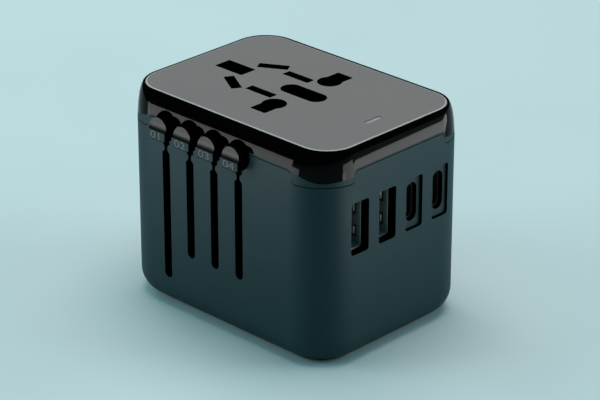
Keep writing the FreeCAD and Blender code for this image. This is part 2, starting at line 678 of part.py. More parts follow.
top_plate = inset_oblong("top_plate_form", "rim_len + fit_gap", "rim_wid + fit_gap", "body_high - plate_thick",
                         "body_high")
dress(top_plate, "PartDesign::Chamfer", "Size", "plate_bevel", flat_at(size.body_high))
LED = ("body_len / 2 - led_in", SOCKET[1] + " - 0.3")
led_hole = oblong_body("led_hole", "led_wide", "led_long", "led_wide / 2 - 0.01", "body_high - plate_thick - 1",
                       "plate_thick + 2", "XY_Plane", LED)
plate_holes = socket_holes("plate_hole", "body_high - plate_thick - 1", "plate_thick + 2")
keep(cut("top_plate_cut", top_plate, list(plate_holes.values()) + [led_hole]), "top_plate")
led_window = oblong_body("led_window_form", "led_wide - 0.1", "led_long - 0.1", "led_wide / 2 - 0.06",
                         "body_high - plate_thick", "plate_thick - 0.15", "XY_Plane", LED)
keep(led_window, "led_window")

# Socket core: the insulating block under the top plate, with the wells of the holes
CORE_TOP = "body_high - plate_thick"
core_solid = block("core_solid", ("core_left", "core_right"), ("-core_half", "core_half"), ("core_low", CORE_TOP))
wells = socket_holes("well", "core_low + 1.2", "body_high")
SHUTTER_X = ("socket_place_x - 3.4", "socket_place_x + 3.4")
SHUTTER_BED_END = "core_right + 1"


def shutter_span(side, grow):
    """A shutter's span along Y on one side of the middle."""
    near = "socket_place_y + %d * (pole_round_at - pole_round_rad - 0.8 - %s)" % (side, grow)
    far = "socket_place_y + %d * (pole_out + 0.9 + %s)" % (side, grow)
    return (near, far) if side > 0 else (far, near)


shutter_beds = [block("shutter_bed_%d" % number, ("%s - 0.2" % SHUTTER_X[0], SHUTTER_BED_END),
                      shutter_span(side, "0.2"), ("shutter_high - 0.15", "shutter_high + shutter_thick + 0.15"))
                for number, side in enumerate(SIDES, start=1)]
strip_beds = []
strips = []
for number, side in enumerate(SIDES, start=1):
    near = "socket_place_y + %d * (pole_round_at - pole_round_rad - strip_thick)" % side
    far = "socket_place_y + %d * (pole_out + strip_thick)" % side
    span = (near, far) if side > 0 else (far, near)
    bed_x = ("socket_place_x - pole_round_rad - strip_thick", "socket_place_x + pole_round_rad + strip_thick")
    bed_z = ("core_low", "shutter_high - 3")
    strip_beds.append(block("contact_bed_%d" % number, bed_x, span, bed_z))
    solid = block("contact_solid_%d" % number, ("%s + 0.1" % bed_x[0], "%s - 0.1" % bed_x[1]),
                  ("%s + 0.1" % span[0], "%s - 0.1" % span[1]), ("core_low + 1.2", "shutter_high - 3.2"))
    hollow = block("contact_hollow_%d" % number, ("%s + strip_thick" % bed_x[0], "%s - strip_thick" % bed_x[1]),
                   ("%s + strip_thick" % span[0], "%s - strip_thick" % span[1]),
                   ("core_low + 1.2 + strip_thick", "body_high"))
    slit = block("contact_slit_%d" % number, ("socket_place_x - 0.6", "socket_place_x + 0.6"),
                 ("%s - 1" % span[0], "%s + 1" % span[1]), ("core_low + 6", "body_high"))
    strips.append(cut("contact_%d" % number, solid, [hollow, slit]))
keep(strips[0], "live_contact")
keep(strips[1], "neutral_contact")
earth_x = ("socket_place_x - earth_step - earth_slot_long / 2", "socket_place_x - earth_step + earth_slot_long / 2")
earth_y = ("socket_place_y - earth_slot_wide / 2 - strip_thick", "socket_place_y + earth_slot_wide / 2 + strip_thick")
EARTH_LEFT = "core_left + 0.8"
earth_bed = block("earth_bed", (EARTH_LEFT, "%s - 1" % earth_x[1]), earth_y, ("core_low", "body_high - 9"))
earth_solid = block("earth_solid", (EARTH_LEFT + " + 0.1", "%s - 1.1" % earth_x[1]),
                    ("%s + 0.1" % earth_y[0], "%s - 0.1" % earth_y[1]), ("core_low + 0.1", "body_high - 9.2"))
earth_gap = block("earth_gap", (earth_x[0], earth_x[1]),
                  ("socket_place_y - earth_slot_wide / 2", "socket_place_y + earth_slot_wide / 2"),
                  ("core_low + 0.1 + strip_thick", "body_high"))
keep(cut("earth_contact_form", earth_solid, [earth_gap]), "earth_contact")
keep(cut("socket_core_form", core_solid, list(wells.values()) + [earth_bed] + shutter_beds + strip_beds),
     "socket_core")

# Shutters: a plate across each of the live and neutral wells, pushed aside by a plug's pins. Each has a
# ramp on top for the pin
for number, side in enumerate(SIDES, start=1):
    shutter_plate = block("shutter_plate_%d" % number, SHUTTER_X, shutter_span(side, "0"),
                          ("shutter_high", "shutter_high + shutter_thick"))
    ramp = doc.addObject("Part::Chamfer", "shutter_%d_form" % number)
    ramp.Base = shutter_plate
    doc.recompute()
    lead = [index for index, edge in enumerate(shutter_plate.Shape.Edges, start=1)
            if abs(edge.BoundBox.ZMin - measure("shutter_high + shutter_thick")) < 1e-4
            and abs(edge.BoundBox.XMax - shutter_plate.Shape.BoundBox.XMin) < 1e-4]
    ramp.Edges = [(index, size.shutter_thick * 0.8, size.shutter_thick * 0.8) for index in lead]
    keep(ramp, "shutter_%d" % number)

# Carriages, knobs, caps and springs
LEG_FRONT = "-body_wid / 2 + leg_front"
LEG_BACK = "-body_wid / 2 + leg_front + leg_thick"
LEG_TOP = "knob_high + stem_up + 0.9"


def deck_boxes(slide):
    """The deck of each carriage: the spans of its boxes along X and Y, clear of the other carriages."""
    at = slide_x(slide)
    if slide == 0:
        half = "round_pin_rad + round_deck_rim"
        return [(("round_pin_x - (%s)" % half, "round_pin_x + %s" % half),
                 ("%s + 6" % LEG_FRONT, "round_pin_step / 2 + %s" % half)),
                (("round_pin_x + 2.5", "%s + leg_wide / 2" % at), ("%s + 0.3" % LEG_FRONT, LEG_BACK)),
                (("round_pin_x + 0.5", at), ("%s - 1.5" % LEG_BACK, LEG_BACK)),
                (("round_pin_x + 0.5", "core_left - 0.2"), ("%s - 1.5" % LEG_BACK, "%s + 7" % LEG_FRONT))]
    if slide == 1:
        reach = "tilt_blade_step / 2 + 3.1"
        return [(("%s - 3.6" % at, "%s + 3.6" % at), (LEG_BACK, "-3.4")),
                (("%s - 0.9" % at, "%s + 3.6" % at), ("-3.4", "3.4")),
                (("%s - 3.6" % at, "%s + 3.6" % at), ("3.4", reach))]
    if slide == 2:
        return [(("%s - blade_long / 2 - 0.4" % at, "%s + blade_long / 2 + 0.4" % at),
                 (LEG_BACK, "blade_step / 2 + 1.7"))]
    earth = "%s - earth_step" % at
    return [(("%s - 2.5" % at, "%s + 2.5" % at), (LEG_BACK, "19.9")),
            (("%s - 4.4" % earth, "%s + 2.5" % at), ("16.2", "19.9")),
            (("%s - 4.4" % earth, "%s + 0.9" % earth), ("-2.9", "19.9")),
            (("%s - 4.4" % earth, "%s + 4.4" % earth), ("-2.5", "2.5"))]


def carriage(slide, node):
    """A deck for the pins and a leg up to the knob, with the pocket of the knob's head and spring."""
    at = slide_x(slide)
    low = deck_low(slide)
    thick = "deck_first_thick" if slide == 0 else "deck_thick"
    parts = [block("%s_deck_%d" % (node, number), span_x, span_y, (low, "%s + %s" % (low, thick)))
             for number, (span_x, span_y) in enumerate(deck_boxes(slide), start=1)]
    parts.append(block(node + "_leg", ("%s - leg_wide / 2" % at, "%s + leg_wide / 2" % at), (LEG_FRONT, LEG_BACK),
                       (low, LEG_TOP)))
    head_low, head_top = "knob_high - head_high / 2", "knob_high + head_high / 2"
    mouth = block(node + "_mouth", ("%s - stem_wide / 2 - 0.1" % at, "%s + stem_wide / 2 + 0.1" % at),
                  ("%s - 1" % LEG_FRONT, "%s + leg_lip + 0.2" % LEG_FRONT),
                  ("knob_high - stem_down - 0.15", "knob_high + stem_up + 0.15"))
    pocket = block(node + "_pocket", ("%s - head_wide / 2 - 0.1" % at, "%s + head_wide / 2 + 0.1" % at),
                   ("%s + leg_lip" % LEG_FRONT, "%s + leg_lip + head_thick + press + 0.85" % LEG_FRONT),
                   ("%s - 0.1" % head_low, "%s + 0.1" % head_top))
    tail = block(node + "_tail", ("%s - stem_wide / 2 - 0.1" % at, "%s + stem_wide / 2 + 0.1" % at),
                 (LEG_FRONT, "%s + leg_lip + head_thick + press + 0.2" % LEG_FRONT),
                 ("knob_high - stem_down - 0.15", "knob_high + stem_up + 0.15"))
    holes = [upright("%s_bed_%s" % (node, pin), kind, x, y, turn, "%s - 1" % low, "1 + pin_hold", "0.0")
             for pin, kind, x, y, turn, out, owner in pin_list() if owner == slide]
    return keep(cut(node + "_form", join(node + "_solid", parts), [mouth, pocket, tail] + holes), node)


def tombstone(name, slide, front, thick, shrink="0"):
    """A knob's outline, round above and square below, extruded along Y from its front."""
    at = slide_x(slide)
    radius = "knob_rad - %s" % shrink
    disc = rod(name + "_disc", "y", (at, front, "knob_high"), radius, thick)
    skirt_low = block(name + "_lower", ("%s - (%s)" % (at, radius), "%s + (%s)" % (at, radius)),
                      (front, "%s + %s" % (front, thick)), ("knob_high - knob_below + %s" % shrink, "knob_high"))
    return join(name, [disc, skirt_low])


def knob(slide, node, cap_node, spring_node):
    at = slide_x(slide)
    front = "-body_wid / 2 - knob_out"
    back = "-body_wid / 2 - knob_clear"
    barrel = tombstone(node + "_barrel", slide, "%s + cap_thick" % front, "knob_out - knob_clear - cap_thick")
    stem = block(node + "_stem", ("%s - stem_wide / 2" % at, "%s + stem_wide / 2" % at),
                 (back, "%s + leg_lip + 0.1 + head_thick" % LEG_FRONT),
                 ("knob_high - stem_down", "knob_high + stem_up"))
    head = block(node + "_head", ("%s - head_wide / 2" % at, "%s + head_wide / 2" % at),
                 ("%s + leg_lip + 0.1" % LEG_FRONT, "%s + leg_lip + 0.1 + head_thick" % LEG_FRONT),
                 ("knob_high - head_high / 2", "knob_high + head_high / 2"))
    keep(join(node + "_form", [barrel, stem, head]), node)
    face = tombstone(cap_node + "_face", slide, front, "cap_thick")
    scoop = rod(cap_node + "_scoop", "x", ("%s - knob_rad - 1" % at, "%s + scoop_deep - 3.2" % front,
                                           "knob_high + knob_rad - 0.2"), "3.2", "2 * knob_rad + 2")
    keep(cut(cap_node + "_form", face, [scoop]), cap_node)
    seat = "%s + leg_lip + 0.1 + head_thick" % LEG_FRONT
    outer = prism(spring_node + "_outer", 12, (at, seat, "knob_high"), "spring_rad", "press + 0.7", "y")
    inner = prism(spring_node + "_inner", 12, (at, "%s - 1" % seat, "knob_high"), "spring_rad - 0.4", "press + 3", "y")
    keep(cut(spring_node + "_form", outer, [inner]), spring_node)


CARRIAGES = ("carriage_c", "carriage_i", "carriage_a", "carriage_g")
for slide, node in enumerate(CARRIAGES):
    carriage(slide, node)
    knob(slide, "knob_%d" % (slide + 1), "knob_cap_%d" % (slide + 1), "knob_spring_%d" % (slide + 1))

# Guide frame: a top bar inside the crown's ledge with ribs between the carriage legs
RIB_HALF = "(slide_pitch - leg_wide) / 2 - run_gap / 2"
RIB_Y = (LEG_FRONT, LEG_BACK + " - run_gap")
BAR_LOW = LEG_TOP + " + 0.3"


def rib_x(number):
    middle = "%s + slide_pitch / 2" % slide_x(number)
    return ("%s - (%s)" % (middle, RIB_HALF), "%s + (%s)" % (middle, RIB_HALF))


ribs = [block("guide_rib_%d" % number, rib_x(number), RIB_Y, ("base_thick", BAR_LOW)) for number in range(4)]
top_bar = block("guide_bar", ("%s - 3" % slide_x(0), rib_x(3)[1]),
                ("-body_wid / 2 + rim_wid + crown_ledge + fit_gap", "-core_half - fit_gap"), (BAR_LOW, CORE_TOP))
keep(join("slide_frame_form", ribs + [top_bar]), "slide_frame")

# Ports: a frame behind the windows, two wide ports and two slim ones
INNER = "body_len / 2 - wall"
frame_solid = block("port_frame_solid", ("%s - frame_thick" % INNER, INNER),
                    ("%s - port_wide / 2 - 1.6" % port_y(0), "%s + port_wide / 2 + 1.6" % port_y(3)),
                    ("port_high - port_tall / 2 - 1.6", "port_high + port_tall / 2 + 1.6"))
wide_cuts = port_windows("frame_window", "jack_wide + 2 * fit_gap", "jack_tall + 2 * fit_gap", "",
                         "%s - frame_thick - 1" % INNER, "frame_thick + 2", (0, 1))
slim_cuts = port_windows("frame_slim", "slim_wide + 2 * fit_gap", "slim_tall + 2 * fit_gap",
                         "slim_wide / 2 + fit_gap - 0.01", "%s - frame_thick - 1" % INNER, "frame_thick + 2", (2, 3))
frame_room = inset_oblong("frame_room", "wall", "wall", "base_thick", ON_TOP)
keep(cut("port_frame_form", common("port_frame_trim", frame_solid, frame_room), wide_cuts + slim_cuts), "port_frame")


def wide_port(number, index):
    """A sheet-metal shell with spring fingers on its wide sides, and a tongue on one side."""
    mouth = "body_len / 2 - jack_back"
    back = "%s - jack_long" % mouth
    y = port_y(number)
    outer = port_windows("jack_outer_%d" % index, "jack_wide", "jack_tall", "0.5", back, "jack_long", (number,))[0]
    inner = port_windows("jack_inner_%d" % index, "jack_wide - 2 * sheet", "jack_tall - 2 * sheet", "",
                         "%s + sheet" % back, "jack_long + 1", (number,))[0]
    fingers = []
    for step, side in enumerate(SIDES, start=1):
        mid = "port_high + %d * jack_tall / 4" % side
        hole = block("finger_hole_%d_%d" % (index, step), ("%s - 5.2" % mouth, "%s - 0.9" % mouth),
                     ("%s - jack_wide" % y, "%s + jack_wide" % y), ("%s - 1.3" % mid, "%s + 1.3" % mid))
        fingers.append(hole)
    keep(cut("usb_a_shell_%d_form" % index, outer, [inner] + fingers), "usb_a_shell_%d" % index)
    tongue = block("jack_tongue_%d" % index, ("%s + sheet" % back, "%s - 0.6" % mouth),
                   ("%s - tongue_thick - 0.15" % y, "%s - 0.15" % y),
                   ("port_high - jack_tall / 2 + sheet + 0.7", "port_high + jack_tall / 2 - sheet - 0.7"))
    root = block("jack_root_%d" % index, ("%s + sheet" % back, "%s + sheet + 3" % back),
                 ("%s - jack_wide / 2 + sheet + 0.05" % y, "%s + jack_wide / 2 - sheet - 0.05" % y),
                 ("port_high - jack_tall / 2 + sheet + 0.1", "port_high + jack_tall / 2 - sheet - 0.1"))
    keep(join("usb_a_tongue_%d_form" % index, [tongue, root]), "usb_a_tongue_%d" % index)


BOARD_FRONT = "body_len / 2 - jack_back - jack_long"


def slim_port(number, index):
    """An insert in the window, an oval metal shell behind it and the thin tongue inside that."""
    mouth = "%s - 0.1" % INNER
    back = "%s - slim_long" % mouth
    y = port_y(number)
    insert = port_windows("insert_%d" % index, "port_wide - fit_gap", "port_tall - fit_gap", "", INNER,
                          "wall - insert_back", (number,))[0]
    hole = port_windows("insert_hole_%d" % index, "slim_hole_wide", "slim_hole_tall", "slim_hole_wide / 2 - 0.01",
                        "%s - 1" % INNER, "wall + 2", (number,))[0]
    keep(cut("usb_c_insert_%d_form" % index, insert, [hole]), "usb_c_insert_%d" % index)
    outer = port_windows("slim_outer_%d" % index, "slim_wide", "slim_tall", "slim_wide / 2 - 0.01", back,
                         "slim_long", (number,))[0]
    inner = port_windows("slim_inner_%d" % index, "slim_wide - 2 * sheet", "slim_tall - 2 * sheet",
                         "slim_wide / 2 - sheet - 0.01", "%s - 1" % back, "slim_long + 2", (number,))[0]
    keep(cut("usb_c_shell_%d_form" % index, outer, [inner]), "usb_c_shell_%d" % index)
    tongue = block("slim_tongue_%d" % index, (back, "%s - 0.5" % mouth),
                   ("%s - slim_tongue / 2" % y, "%s + slim_tongue / 2" % y),
                   ("port_high - slim_tall / 2 + sheet + 0.8", "port_high + slim_tall / 2 - sheet - 0.8"))
    plug = port_windows("slim_plug_%d" % index, "slim_wide - 2 * sheet - 0.04", "slim_tall - 2 * sheet - 0.04",
                        "slim_wide / 2 - sheet - 0.03", back, "1.5", (number,))[0]
    riser = block("slim_riser_%d" % index, (BOARD_FRONT, back), ("%s - slim_wide / 2" % y, "%s + slim_wide / 2" % y),
                  ("port_high - slim_tall / 2", "port_high + slim_tall / 2"))
    keep(join("usb_c_tongue_%d_form" % index, [tongue, plug, riser]), "usb_c_tongue_%d" % index)


for index in (1, 2):
    wide_port(index - 1, index)
    slim_port(index + 1, index)

# Electronics: the port board on two feet, the power board and what stands on it
BOARD_TOP = "power_board_high + board_thick"
BOARD_SPAN = ("%s - port_wide / 2 - 1.6" % port_y(0), "%s + port_wide / 2 + 1.6" % port_y(3))
BOARD_X = ("%s - board_thick" % BOARD_FRONT, BOARD_FRONT)
board_main = block("usb_board_main", BOARD_X, BOARD_SPAN,
                   ("port_high - port_tall", "port_high + port_tall / 2 + 1.6"))
board_feet = [block("usb_board_foot_%d" % number, BOARD_X, span, (BOARD_TOP, "port_high - port_tall"))
              for number, span in enumerate(((BOARD_SPAN[0], BOARD_SPAN[0] + " + 3"),
                                             (BOARD_SPAN[1] + " - 3", BOARD_SPAN[1])))]
keep(join("usb_board_form", [board_main] + board_feet), "usb_board")
BOARD_START = rib_x(3)[1] + " + run_gap"
power_board = block("power_board_solid", (BOARD_START, "%s - 0.6" % INNER),
                    ("-body_wid / 2 + wall + 1.2", "body_wid / 2 - wall - 1.2"), ("power_board_high", BOARD_TOP))
board_room = inset_oblong("board_room", "wall + 0.5", "wall + 0.5", "base_thick", ON_TOP)
web_room = [block("web_room_%d" % number, ("screw_at_x - screw_rad - boss_wall - 0.3", "body_len / 2"), span,
                  ("base_thick", ON_TOP)) for number, span in enumerate((
                      ("screw_at_y - screw_rad - boss_wall - 0.3", "body_wid / 2"),
                      ("-body_wid / 2", "-screw_at_y + screw_rad + boss_wall + 0.3")))]
keep(cut("power_board_form", common("power_board_trim", power_board, board_room), web_room), "power_board")

# The transformer fills the room between the fuse and the housing's end
FUSE_X = BOARD_START + " + 2.9"
core_x = ("%s + 4.0" % FUSE_X, "%s - 1.6" % INNER)
winding = block("winding", ("%s + 1.2" % core_x[0], "%s - 1.2" % core_x[1]), ("-5.4", "5.4"),
                (BOARD_TOP, BOARD_TOP + " + 11.4"))
yoke_low = block("yoke_low", core_x, ("-7", "7"), (BOARD_TOP + " + 1.2", BOARD_TOP + " + 3.6"))
yoke_high = block("yoke_high", core_x, ("-7", "7"), (BOARD_TOP + " + 8.4", BOARD_TOP + " + 10.8"))
yoke_left = block("yoke_left", core_x, ("-7", "-4.8"), (BOARD_TOP + " + 3.6", BOARD_TOP + " + 8.4"))
yoke_right = block("yoke_right", core_x, ("4.8", "7"), (BOARD_TOP + " + 3.6", BOARD_TOP + " + 8.4"))
keep(join("transformer_form", [winding, yoke_low, yoke_high, yoke_left, yoke_right]), "transformer")
CAN_HIGH = "port_high - jack_tall / 2 - 4.25 - (%s)" % BOARD_TOP
CAN_X = "(%s + 2.6 + %s - 0.6) / 2" % (FUSE_X, INNER)
cans = [rod("can_1", "z", (CAN_X, "-11.0", BOARD_TOP), "3.6", CAN_HIGH),
        rod("can_2", "z", (CAN_X, "11.2", BOARD_TOP), "3.15", "11")]
keep(join("capacitors_form", cans), "capacitors")
fuse_tube = prism("fuse_tube", 12, (FUSE_X, "-10", BOARD_TOP + " + 3.6"), "2.4", "20", "y")
fuse_caps = [rod("fuse_cap_%d" % number, "y", (FUSE_X, at, BOARD_TOP + " + 3.6"), "2.6", "5")
             for number, at in ((1, "-10"), (2, "5"))]
keep(join("fuse_form", [fuse_tube] + fuse_caps), "fuse")
clips = []
for number, at in ((1, "-9"), (2, "6")):
    holder = block("clip_block_%d" % number, ("%s - 2.4" % FUSE_X, "%s + 2.4" % FUSE_X), (at, "%s + 3" % at),
                   (BOARD_TOP, BOARD_TOP + " + 4"))
    seat = rod("clip_seat_%d" % number, "y", (FUSE_X, "%s - 1" % at, BOARD_TOP + " + 3.6"), "2.6", "5")
    clips.append(cut("clip_%d" % number, holder, [seat]))
keep(join("fuse_clips_form", clips), "fuse_clips")
bars = [block("bar_%d" % number, ("core_right + 0.1", "core_right + 0.1 + strip_thick"),
              ("%d * 11 - 2.4" % side, "%d * 11 + 2.4" % side), (BOARD_TOP, "core_low + 5"))
        for number, side in enumerate(SIDES, start=1)]
keep(bars[0], "busbar_live")
keep(bars[1], "busbar_neutral")


def check_and_write():
    """Recompute, check every object and each sub-part's shape, and write the parts."""
    doc.recompute()
    bad = [item.Name for item in doc.Objects if "Invalid" in item.State or "Error" in item.State]
    if bad:
        raise RuntimeError("failed objects: %s" % ", ".join(bad))
    os.makedirs("parts", exist_ok=True)
    for node, item in sorted(pieces.items()):
        shape = item.Shape
        if shape.isNull() or not shape.isValid() or not shape.Solids:
            raise RuntimeError("bad shape: " + node)
        shape.exportStep("parts/%s.step" % node)
        box = shape.BoundBox
        print("%-18s solids %d volume %9.2f  x %.2f %.2f  y %.2f %.2f  z %.2f %.2f" % (
            node, len(shape.Solids), shape.Volume, box.XMin, box.XMax, box.YMin, box.YMax, box.ZMin, box.ZMax))


check_and_write()
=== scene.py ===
import json
import math

import bmesh
import bpy
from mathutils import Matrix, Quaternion, Vector


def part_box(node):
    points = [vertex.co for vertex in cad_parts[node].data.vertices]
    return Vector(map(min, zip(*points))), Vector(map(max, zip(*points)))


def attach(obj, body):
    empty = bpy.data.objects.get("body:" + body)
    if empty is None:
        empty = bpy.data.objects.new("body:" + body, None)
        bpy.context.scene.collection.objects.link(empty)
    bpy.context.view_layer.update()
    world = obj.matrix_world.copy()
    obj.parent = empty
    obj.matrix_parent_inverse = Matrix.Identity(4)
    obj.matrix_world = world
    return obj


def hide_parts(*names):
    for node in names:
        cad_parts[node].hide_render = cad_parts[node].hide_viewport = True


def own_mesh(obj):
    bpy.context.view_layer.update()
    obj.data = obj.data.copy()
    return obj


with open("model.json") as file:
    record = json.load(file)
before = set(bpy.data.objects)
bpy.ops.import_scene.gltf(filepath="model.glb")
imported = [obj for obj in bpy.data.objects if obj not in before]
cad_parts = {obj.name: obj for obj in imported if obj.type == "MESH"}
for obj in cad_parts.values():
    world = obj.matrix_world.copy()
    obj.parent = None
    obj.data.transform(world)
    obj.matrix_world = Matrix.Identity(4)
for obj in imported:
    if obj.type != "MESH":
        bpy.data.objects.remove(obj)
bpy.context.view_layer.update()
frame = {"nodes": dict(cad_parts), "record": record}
nodes = frame["nodes"]
record = frame["record"]
body_of_node = {node: body for body, members in record["behaviour"]["bodies"].items()
                for node in members}
slot_of_node = {entry["node"]: entry["material_slot"] for entry in record["subparts"]}

MM = 0.001
SIDES = (-1, 1)


def middle(node, axis):
    """The middle of a CAD node's box along one axis, in millimetres."""
    low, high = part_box(node)
    return (low[axis] + high[axis]) / 2 / MM


# Sizes read from the solids. All sizes below are in millimetres.
HALF_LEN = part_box("lower_shell")[1].x / MM
HALF_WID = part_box("lower_shell")[1].y / MM
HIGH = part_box("top_plate")[1].z / MM
PLATE_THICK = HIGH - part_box("top_plate")[0].z / MM
SKIRT_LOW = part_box("upper_ring")[0].z / MM
SLIDE_X = [middle("knob_%d" % number, 0) for number in range(1, 5)]
PORT_Y = [middle(node, 1) for node in ("usb_a_shell_1", "usb_a_shell_2", "usb_c_shell_1", "usb_c_shell_2")]
PORT_HIGH = middle("usb_a_shell_1", 2)

# Housing. Its outer corners follow the photo, and its inner ones the solids.
CORNER = 11.7
OUTER_CORNER = 10.9
TOP_CORNER = 7.8
FOOT = 6.0
SHOULDER = 9.4
SHOULDER_BANDS = 24
RIM_LEN = 1.5
RIM_WID = 2.9
WALL = 2.0
SKIRT_OUT = WALL + 0.1
SKIRT_IN = WALL + 1.2
LEDGE = 1.5
LEDGE_THICK = 1.4
PLATE_BEVEL = 0.5
PLATE_GAP = 0.1
BED_GAP = 0.04

# Seams: their drop from the top, their dip at the corners and the bends between
SEAM_DROP = 5.3
SEAM_DIP = 2.9
SEAM_GAP = 0.22
TRIM_DROP = 4.9
TRIM_DIP = 2.4
DIP_BEND = 1.4

# Slide openings
RECESS_RAD = 3.6
THROAT_HIGH = 41.6
THROAT_WIDE = 0.9
NUB_RAD = 1.2
SLOT_WIDE = 2.5
SLOT_LOW = (8.0, 15.7, 15.7, 15.7)

# Slide buttons
KNOB_HIGH = 47.2
KNOB_RAD = 2.8
KNOB_BELOW = 2.85
KNOB_STAND_OFF = 0.95
STEM_HALF = 0.35
HEAD_HALF = 1.3
HEAD_TALL = 2.5
HEAD_THICK = 0.8
SCOOP_LEDGE = KNOB_HIGH - 0.35
SCOOP_REACH = 1.8
SCOOP_DEEP = 0.58
LABEL_LOW = KNOB_HIGH - 2.45
LABEL_PROUD = 0.25
FIGURE_ROOM = 0.07
FIGURE_TALL = 2.6
FIGURE_STRETCH = 1.5

# Ports
PORT_WIDE = 5.65
PORT_TALL = 13.0
SLIM_HALF = 1.78
SLIM_HALF_TALL = 4.84
SHEET = 0.3
FINGER_APART = 2.9
FINGER_SHIFT = -0.25

# Socket, with its origin between the live and neutral holes
SOCKET_X = 2.2
SOCKET_Y = 0.2
EARTH_BACK = 22.23

TEAL = (0.017, 0.043, 0.050)
BLACK = (0.0008, 0.0008, 0.0008)

# Grain is depth and size in millimetres. Mottle is its share of the tone and its size.
LOOKS = {
    "body_teal": dict(colour=TEAL, rough=0.5, grain=(0.008, 0.22), mottle=(0.03, 14),
                      specular=0.06, wear=0.1),
    "crown_black": dict(colour=BLACK, rough=0.06, mottle=(0.1, 9), specular=0.06, wear=0.2),
    "plate_grey": dict(colour=(0.180, 0.168, 0.168), rough=0.5, grain=(0.006, 0.2), mottle=(0.03, 18),
                       specular=0.3, wear=0.1),
    "led_window": dict(colour=(0.30, 0.31, 0.31), rough=0.3, grain=(0.003, 0.4), mottle=(0.05, 2)),
    "base_dark": dict(colour=(0.022, 0.042, 0.048), rough=0.48, grain=(0.012, 0.25), mottle=(0.06, 12),
                      specular=0.4, wear=0.1),
    "screw_steel": dict(colour=(0.45, 0.45, 0.46), rough=0.3, grain=(0.004, 0.3), mottle=(0.1, 1),
                        metal=1.0, wear=0.3),
    "inner_black": dict(colour=BLACK, rough=0.5, grain=(0.008, 0.2), mottle=(0.2, 6),
                        specular=0.0, wear=0.1),
    "contact_brass": dict(colour=(0.55, 0.42, 0.18), rough=0.28, grain=(0.004, 0.4), mottle=(0.12, 3),
                          metal=1.0, wear=0.3),
    "knob_teal": dict(colour=(0.017, 0.034, 0.039), rough=0.5, grain=(0.004, 0.2), mottle=(0.05, 5),
                      specular=0.06, wear=0.1),
    "spring_steel": dict(colour=(0.5, 0.5, 0.52), rough=0.25, grain=(0.002, 0.3), mottle=(0.1, 1),
                         metal=1.0),
    "pin_plating": dict(colour=(0.6, 0.58, 0.54), rough=0.22, grain=(0.003, 0.5), mottle=(0.06, 6),
                        metal=1.0, wear=0.35),
    "port_metal": dict(colour=(0.30, 0.33, 0.33), rough=0.4, grain=(0.004, 0.3), mottle=(0.1, 3),
                       metal=0.3, wear=0.2),
    "board_green": dict(colour=(0.02, 0.12, 0.06), rough=0.35, grain=(0.006, 0.5), mottle=(0.2, 2)),
    "wound_core": dict(colour=(0.05, 0.05, 0.05), rough=0.6, grain=(0.01, 0.6), mottle=(0.2, 3)),
    "can_aluminium": dict(colour=(0.35, 0.36, 0.38), rough=0.35, grain=(0.004, 0.4), mottle=(0.1, 3),
                          metal=0.8),
    "fuse_ceramic": dict(colour=(0.72, 0.7, 0.65), rough=0.3, grain=(0.003, 0.5), mottle=(0.05, 4)),
    # Lighter grey for the spring tongues in the wide ports: their steel, with a painted sheen where they
    # catch the light.
    "finger_steel_and_sheen": dict(colour=(0.55, 0.52, 0.50), rough=0.4, grain=(0.003, 0.3), mottle=(0.08, 2),
                          metal=0.3, wear=0.2),
    # Near-black for the USB-C shells: painted shade deep inside the oval openings.
    "port_painted_shade": dict(colour=(0.012, 0.0125, 0.013), rough=0.4, grain=(0.003, 0.3), mottle=(0.1, 2),
                      specular=0.15, wear=0.2),
    "port_tongue": dict(colour=(0.055, 0.055, 0.057), rough=0.5, grain=(0.003, 0.3), mottle=(0.1, 2),
                        specular=0.1, wear=0.2),
    "knob_gloss": dict(colour=(0.001, 0.001, 0.001), rough=0.32, grain=(0.001, 0.3), mottle=(0.1, 2),
                       specular=0.12, wear=0.1),
    "figure_grey": dict(colour=(0.10, 0.13, 0.135), rough=0.5, grain=(0.003, 0.2), mottle=(0.05, 2),
                        specular=0.1),
    # Lighter grey for the top plate's bevelled rim: a painted highlight along its edge.
    "plate_edge_highlight": dict(colour=(0.42, 0.42, 0.42), rough=0.4, grain=(0.003, 0.2), mottle=(0.04, 9)),
}

# CAD nodes of the right shape, shown as smoothed copies in their own slots' finish
SMOOTHED = ("base_plate", "base_screws", "pin_c_1", "pin_c_2", "blade_i_1", "blade_i_2", "blade_a_1",
            "blade_a_2", "pin_g_1", "pin_g_2", "pin_g_earth", "socket_core", "slide_frame")


# Handling of objects
def let_go():
    bpy.ops.object.select_all(action="DESELECT")


def take(item):
    """Makes one object the only one selected, and the active one."""
    let_go()
    item.select_set(True)
    bpy.context.view_layer.objects.active = item
    return item


def rename(item, name):
    item.name = name
    item.data.name = name
    return item


def settle(item, name):
    """Names an object and puts its place, turn and size into its mesh."""
    take(rename(item, name))
    bpy.ops.object.transform_apply(location=True, rotation=True, scale=True)
    return item


def twin(item, name):
    take(item)
    bpy.ops.object.duplicate()
    return rename(bpy.context.object, name)


def merge(items):
    """Several separate solids made one object."""
    take(items[0])
    for item in items[1:]:
        item.select_set(True)
    bpy.ops.object.join()
    return items[0]


def paint(item, material):
    """Gives every face of an object one material."""
    item.data.materials.clear()
    item.data.materials.append(material)
    for face in item.data.polygons:
        face.material_index = 0
    return item


def fit(item, body, slot, *stands_for):
    """Hangs a finished piece on its body and hides the CAD nodes that it stands for. Its slot is not used.
    """
    if stands_for:
        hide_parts(*stands_for)
    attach(item, body)
    return item


# Solids, their spans and places in millimetres
def block(name, x_span, y_span, z_span):
    spans = (x_span, y_span, z_span)
    let_go()
    bpy.ops.mesh.primitive_cube_add(size=1, location=[sum(span) / 2 * MM for span in spans])
    item = bpy.context.object
    item.scale = [abs(span[1] - span[0]) * MM for span in spans]
    return settle(item, name)


